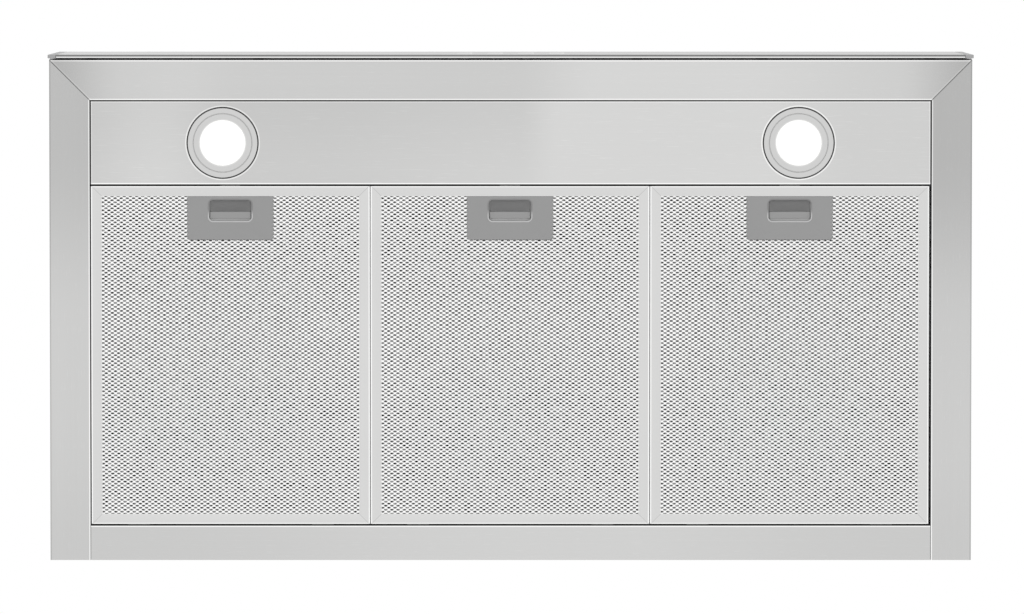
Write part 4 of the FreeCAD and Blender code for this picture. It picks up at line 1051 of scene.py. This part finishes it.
class HOOD_OT_latches(HoodOperator):
    """Filter latches: plate with a rimmed window, slider with a hollow dish, coil spring"""

    bl_idname = "hood.latches"
    bl_label = "Latches"

    def build(self):
        look = settings("hood_latch")
        for side in SIDES:
            softened(f"{side}_latch_tray", f"{side}_latch_plate", 0.00035, "latch_plate", "latch_rim",
                     join=False)
            softened(f"{side}_latch_slide", f"{side}_latch_slider", 0.0003, "slider")
            low, high = span(f"{side}_latch_plate")
            x = (low[0] + high[0]) / 2
            front = low[1] + LATCH_FRONT
            centre = (x, front + WINDOW[1])
            path, out = round_rectangle(*WINDOW, 0.004)
            w = look.rim_width
            profile = rounded_outline([(0.00002, low[2] + 0.0009), (0.00002, low[2] - 0.00018),
                                       (w, low[2] - 0.00018), (w + 0.0002, low[2] + 0.0002)], 0.00012, 3)
            points, quads = carried(path, out, profile, centre)
            piece(f"{side}_latch_window_rim", f"{side}_filter", points, quads, "latch_rim", 50)
            self.dish(side, x, front)
            self.spring(side)

    def dish(self, side, x, front):
        """Hollow of the slider: one less the fifth power of the way across, to the power 0.6, times a skewed
        arch along it."""
        half, start, end = 0.0196, front + 0.0003, front + 0.01145
        u = np.linspace(-1, 1, 41)[None, :]
        v = np.linspace(0, 1, 17)[:, None]
        depth = settings("hood_latch").dish_depth
        arch = np.sin(np.pi * v ** 0.8) ** 0.7
        z = 0.0023 + depth * (1 - np.abs(u) ** 5) ** 0.6 * arch
        across, along = np.broadcast_arrays(x + half * u, start + (end - start) * v)
        points = np.stack([across, along, z], -1).reshape(-1, 3)
        item = piece(f"{side}_latch_dish", f"{side}_latch", points, lattice(17, 41), "dish", 0)
        item.data.shade_smooth()
        give(item.modifiers.new("Wall", "SOLIDIFY"), thickness=0.0003, offset=0.0)

    def spring(self, side):
        """Coil: a circle of wire carried along a helix whose turns stand even between its two seats."""
        look = settings("hood_latch")
        low, high = span(f"{side}_latch_spring")
        wire = 0.0003
        coil = (high[0] - low[0]) / 2 - wire
        x, z = (low[0] + high[0]) / 2, (low[2] + high[2]) / 2
        t = np.linspace(0, 1, look.spring_turns * 20 + 1)[:, None]
        a = t * look.spring_turns * 2 * math.pi
        line = np.concatenate([x + coil * np.cos(a), low[1] + wire + (high[1] - low[1] - 2 * wire) * t,
                               z + coil * np.sin(a)], 1)
        way = np.gradient(line, axis=0)
        way /= np.linalg.norm(way, axis=1)[:, None]
        out = np.concatenate([np.cos(a), np.zeros_like(a), np.sin(a)], 1)
        bind = np.cross(way, out)
        b = np.linspace(0, 2 * math.pi, 8, endpoint=False)
        cos_b, sin_b = np.cos(b)[None, :, None], np.sin(b)[None, :, None]
        ring = line[:, None] + wire * (cos_b * out[:, None] + sin_b * bind[:, None])
        count = len(line)
        item = piece(f"{side}_latch_coil", f"{side}_filter", ring.reshape(-1, 3),
                     lattice(count, 8, False, True), "spring", 60,
                     (f"{side}_latch_spring",),
                     ends=(range(8), range((count - 1) * 8, count * 8)))
        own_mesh(item)


def blocks(half_x, half_y, corner, profile, centres):
    """Rounded blocks: an open outline of offset and height carried round a rounded rectangle, closed at its
    first and last ring, once at each centre."""
    path, out = round_rectangle(half_x, half_y, corner, 6)
    profile, centres = np.asarray(profile, float), np.asarray(centres, float)
    flat = path[None] + out[None] * profile[:, 0, None, None]
    ring = np.concatenate([flat, np.broadcast_to(profile[:, 1, None, None], (*flat.shape[:2], 1))], -1)
    points = (centres[:, None, None] + ring[None]).reshape(-1, 3)
    rows, count = len(profile), len(path)
    quads = copied(lattice(rows, count, False, True), len(centres), rows * count)
    first = np.arange(len(centres))[:, None] * rows * count + np.arange(count)
    ends = [*first.tolist(), *(first + (rows - 1) * count).tolist()]
    return points, quads, ends


def dress(node, name):
    """Gives a CAD node that keeps its own surface a finish."""
    item = frame["nodes"][node]
    item.data.materials.clear()
    item.data.materials.append(finish(name))
    return item


class HOOD_OT_canopy(HoodOperator):
    """Pan over the rim, blower box, mounting brackets and the boxes on the pan"""

    bl_idname = "hood.canopy"
    bl_label = "Canopy and boxes"

    def build(self):
        for node in ("canopy_pan", "blower_box_front", "blower_box_rear", "blower_box_left",
                     "blower_box_right", "blower_box_top", "mounting_brackets", "junction_box"):
            softened(f"{node}_sheet", node, 0.0002, "galvanised")
        self.control_box()
        softened("gland_body", "cable_gland", 0.0004, "black")

    def control_box(self):
        """Moulded cover: a flange, a wall with a seam and a little draft, a grooved lid, ribs across it."""
        low, high = span("control_box")
        half = (high - low) / 2
        foot, top = low[2], high[2]
        seam = foot + 0.026
        profile = [(0, foot), (0, foot + 0.0024), (-0.0004, foot + 0.0028), (-0.0024, foot + 0.003),
                   (-0.0028, seam), (-0.0036, seam + 0.0002), (-0.0036, seam + 0.001),
                   (-0.0029, seam + 0.0012), (-0.0034, top - 0.0024), (-0.0042, top - 0.0006),
                   (-0.0058, top), (-0.0098, top), (-0.0103, top - 0.0008), (-0.0111, top - 0.0008),
                   (-0.0116, top)]
        x, y = middle("control_box")[:2]
        points, quads, ends = blocks(half[0], half[1], 0.013, profile, [(x, y, 0.0)])
        piece("control_box_cover", "hood", points, quads, "black", 35, ("control_box",),
              ends=ends)
        across = np.arange(-4, 5) * 0.0095
        rib = [(0, top - 0.0002), (0, top + 0.0008), (-0.0005, top + 0.0012)]
        centres = np.stack([np.full(9, x), y + across, np.zeros(9)], 1)
        points, quads, ends = blocks(0.028, 0.002, 0.0018, rib, centres)
        piece("control_box_ribs", "hood", points, quads, "black", 35, ends=ends)


class HOOD_OT_blower(HoodOperator):
    """Scroll, inlet ring, impeller and motor"""

    bl_idname = "hood.blower"
    bl_label = "Blower"

    def build(self):
        for node in ("scroll_wrap", "scroll_motor_side", "scroll_inlet_side", "inlet_ring"):
            dress(node, "galvanised")
        dress("impeller", "wheel")
        dress("motor_shaft", "shaft")
        dress("motor_housing", "enamel")


class HOOD_OT_duct(HoodOperator):
    """Duct collar with its two damper flaps"""

    bl_idname = "hood.duct"
    bl_label = "Duct collar"

    def build(self):
        softened("duct_collar_sheet", "duct_collar", 0.0002, "galvanised")
        for name in ("front", "rear"):
            softened(f"{name}_flap_plate", f"{name}_damper_flap", 0.0002, "galvanised")


class HOOD_OT_screws(HoodOperator):
    """Sheet screws with pan heads, cross recesses and threads"""

    bl_idname = "hood.screws"
    bl_label = "Screws"

    def build(self):
        """Each screw of the node is found by the jump to the next one; its wider end is the head's."""
        source = frame["nodes"]["sheet_screws"]
        points = np.empty(len(source.data.vertices) * 3)
        source.data.vertices.foreach_get("co", points)
        points = points.reshape(-1, 3)
        jumps = np.flatnonzero(np.linalg.norm(np.diff(points, axis=0), axis=1) > 0.02) + 1
        made = [self.screw(part, number) for number, part in enumerate(np.split(points, jumps))]
        count = len(made[0])
        quads = copied(lattice(count // SCREW_STEPS, SCREW_STEPS, False, True), len(made), count)
        first = np.arange(len(made))[:, None] * count + np.arange(SCREW_STEPS)
        ends = [*first.tolist(), *(first + count - SCREW_STEPS).tolist()]
        piece("screw_set", source["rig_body"], np.concatenate(made), quads, "screw", 35,
              ("sheet_screws",), ends=ends)

    def screw(self, part, number):
        """A lathe outline of radius and height along the screw's axis; the head's face is a flat dome, sunk
        where the lesser of the two distances from its middle lines is small and the greater is short."""
        low, high = part.min(0), part.max(0)
        axis = int((high - low).argmax())
        others = [k for k in range(3) if k != axis]
        centre = (low + high) / 2
        out = np.hypot(*(part[:, k] - centre[k] for k in others))
        way = 1.0 if part[out > out.max() * 0.95, axis].mean() > centre[axis] else -1.0
        along = (part[:, axis] - centre[axis]) * way
        wide, top, tip = out.max(), along.max(), along.min()
        seat = along[out > wide * 0.95].min()
        head = top - seat
        dome = np.linspace(0.00004, 0.82, 12) * wide
        pitch = (seat - tip) / 5
        thread = np.arange(4)
        outline = np.concatenate([
            np.stack([dome, top - 0.22 * head * (dome / wide) ** 2], 1),
            [(0.93 * wide, top - 0.3 * head), (wide, top - 0.55 * head), (wide, seat), (0.0014, seat)],
            np.stack([np.tile([0.0018, 0.0013], 4),
                      seat - (np.repeat(thread, 2) + np.tile([0.4, 0.9], 4)) * pitch], 1),
            [(0.0009, tip + 0.0004), (0.0003, tip)],
        ])
        angle = np.linspace(0, 2 * math.pi, SCREW_STEPS, endpoint=False)[None, :]
        u, v = outline[:, :1] * np.cos(angle), outline[:, :1] * np.sin(angle)
        near_line, far_line = np.minimum(abs(u), abs(v)), np.maximum(abs(u), abs(v))
        sunk = np.clip((0.0005 - near_line) / 0.0002 + 0.5, 0, 1)
        sunk = sunk * np.clip((0.0019 - far_line) / 0.0003 + 0.5, 0, 1)
        sunk = sunk * (np.arange(len(outline)) < len(dome))[:, None]
        height = outline[:, 1:] - 0.0011 * sunk
        spin = 1.3 * number
        points = np.empty((*u.shape, 3))
        points[..., others[0]] = centre[others[0]] + u * math.cos(spin) - v * math.sin(spin)
        points[..., others[1]] = centre[others[1]] + u * math.sin(spin) + v * math.cos(spin)
        points[..., axis] = centre[axis] + way * height
        return points.reshape(-1, 3)


class HOOD_OT_stage(HoodOperator):
    """Pale floor under the hanging hood, soft lamps above and below, white surroundings and the camera"""

    bl_idname = "hood.stage"
    bl_label = "Stage"

    def build(self):
        look = settings("hood_stage")
        self.floor(look)
        self.world()
        for name, place, size, power in (
            ("key_above", (-1.6, -2.2, 3.0), 2.4, 7.0),
            ("fill_above", (2.4, -1.2, 2.2), 2.4, 3.5),
            ("soft_below", (-0.6, -1.4, -3.2), 3.2, 2.0),
            ("back", (0.4, 3.0, 2.0), 2.4, 3.0),
        ):
            self.lamp(name, place, size, power)
        self.camera(look)
        bpy.context.scene.view_settings.view_transform = "Standard"

    def floor(self, look):
        """One-sided: from above it is a pale floor, and from below, or to any other ray, it isn't there."""
        half = 8.0
        data = bpy.data.meshes.new("floor")
        z = look.floor_drop
        corners = [(-half, -half, z), (half, -half, z), (half, half, z), (-half, half, z)]
        data.from_pydata(corners, [], [(0, 1, 2, 3)])
        made = Finish("floor_pale", (0.86, 0.86, 0.86), Roughness=0.9)
        ray = made.node("ShaderNodeLightPath", {}, {}, "Is Camera Ray")
        behind = made.node("ShaderNodeNewGeometry", {}, {}, "Backfacing")
        clear = made.node("ShaderNodeBsdfTransparent", {}, {})
        seen = ray * (1 - behind)
        both = made.node("ShaderNodeMixShader", {},
                         {0: seen, 1: clear, 2: Socket(made, made.shader.outputs[0])})
        made.put(made.tree.nodes["Material Output"].inputs["Surface"], both)
        data.materials.append(made.material)
        item = linked("floor", data)

    def world(self):
        """White to the camera, to gloss and to glass; a plain soft light to everything else."""
        world = bpy.data.worlds.new("surroundings")
        bpy.context.scene.world = world
        world.use_nodes = True
        tree = world.node_tree
        back = tree.nodes["Background"]
        back.inputs["Color"].default_value = (1, 1, 1, 1)
        path = tree.nodes.new("ShaderNodeLightPath")
        level = path.outputs["Is Camera Ray"]
        for name in ("Is Glossy Ray", "Is Transmission Ray"):
            most = tree.nodes.new("ShaderNodeMath")
            most.operation = "MAXIMUM"
            tree.links.new(level, most.inputs[0])
            tree.links.new(path.outputs[name], most.inputs[1])
            level = most.outputs[0]
        scale = tree.nodes.new("ShaderNodeMapRange")
        tree.links.new(level, scale.inputs["Value"])
        scale.inputs["To Min"].default_value = 0.9
        tree.links.new(scale.outputs[0], back.inputs["Strength"])

    def lamp(self, name, place, size, power):
        data = bpy.data.lights.new(name, "AREA")
        give(data, shape="DISK", size=size, energy=power)
        turn = (Vector((0, 0, 0.1)) - Vector(place)).to_track_quat("-Z", "Y").to_euler()
        give(linked(name, data), location=place, rotation_euler=turn, visible_camera=False)

    def camera(self, look):
        """Looks up from below and a little in front; the picture's up is the hood's front."""
        data = bpy.data.cameras.new("camera")
        data.sensor_width = 36.0
        data.lens = look.scale * look.distance * data.sensor_width
        data.clip_end = 100.0
        item = linked("camera", data)
        back = Vector((0, -math.sin(look.tilt), -math.cos(look.tilt)))
        right = Vector((1, 0, 0))
        up = back.cross(right)
        turn = Matrix((right, up, back)).transposed().to_4x4()
        item.matrix_world = Matrix.Translation(AIM + back * look.distance) @ turn
        bpy.context.scene.camera = item


OPERATORS = (
    HOOD_OT_rim, HOOD_OT_fascia, HOOD_OT_buttons, HOOD_OT_lamps, HOOD_OT_filters, HOOD_OT_latches,
    HOOD_OT_canopy, HOOD_OT_blower, HOOD_OT_duct, HOOD_OT_screws, HOOD_OT_stage,
)


class HOOD_PT_panel(bpy.types.Panel):
    """The hood's operators and settings"""

    bl_label = "Range hood insert"
    bl_idname = "HOOD_PT_panel"
    bl_space_type = "VIEW_3D"
    bl_region_type = "UI"
    bl_category = "Hood"

    def draw(self, context):
        for operator in OPERATORS:
            self.layout.operator(operator.bl_idname)
        for name, group in GROUPS.items():
            box = self.layout.box()
            for prop in group.__annotations__:
                box.prop(getattr(context.scene, name), prop)


def register():
    for group in GROUPS.values():
        bpy.utils.register_class(group)
    for operator in OPERATORS:
        bpy.utils.register_class(operator)
    bpy.utils.register_class(HOOD_PT_panel)
    for name, group in GROUPS.items():
        setattr(bpy.types.Scene, name, PointerProperty(type=group))


def unregister():
    for name in GROUPS:
        delattr(bpy.types.Scene, name)
    bpy.utils.unregister_class(HOOD_PT_panel)
    for operator in reversed(OPERATORS):
        bpy.utils.unregister_class(operator)
    for group in reversed(list(GROUPS.values())):
        bpy.utils.unregister_class(group)


def main():
    register()
    for operator in OPERATORS:
        group, name = operator.bl_idname.split(".")
        getattr(getattr(bpy.ops, group), name)()


if __name__ == "__main__":
    main()
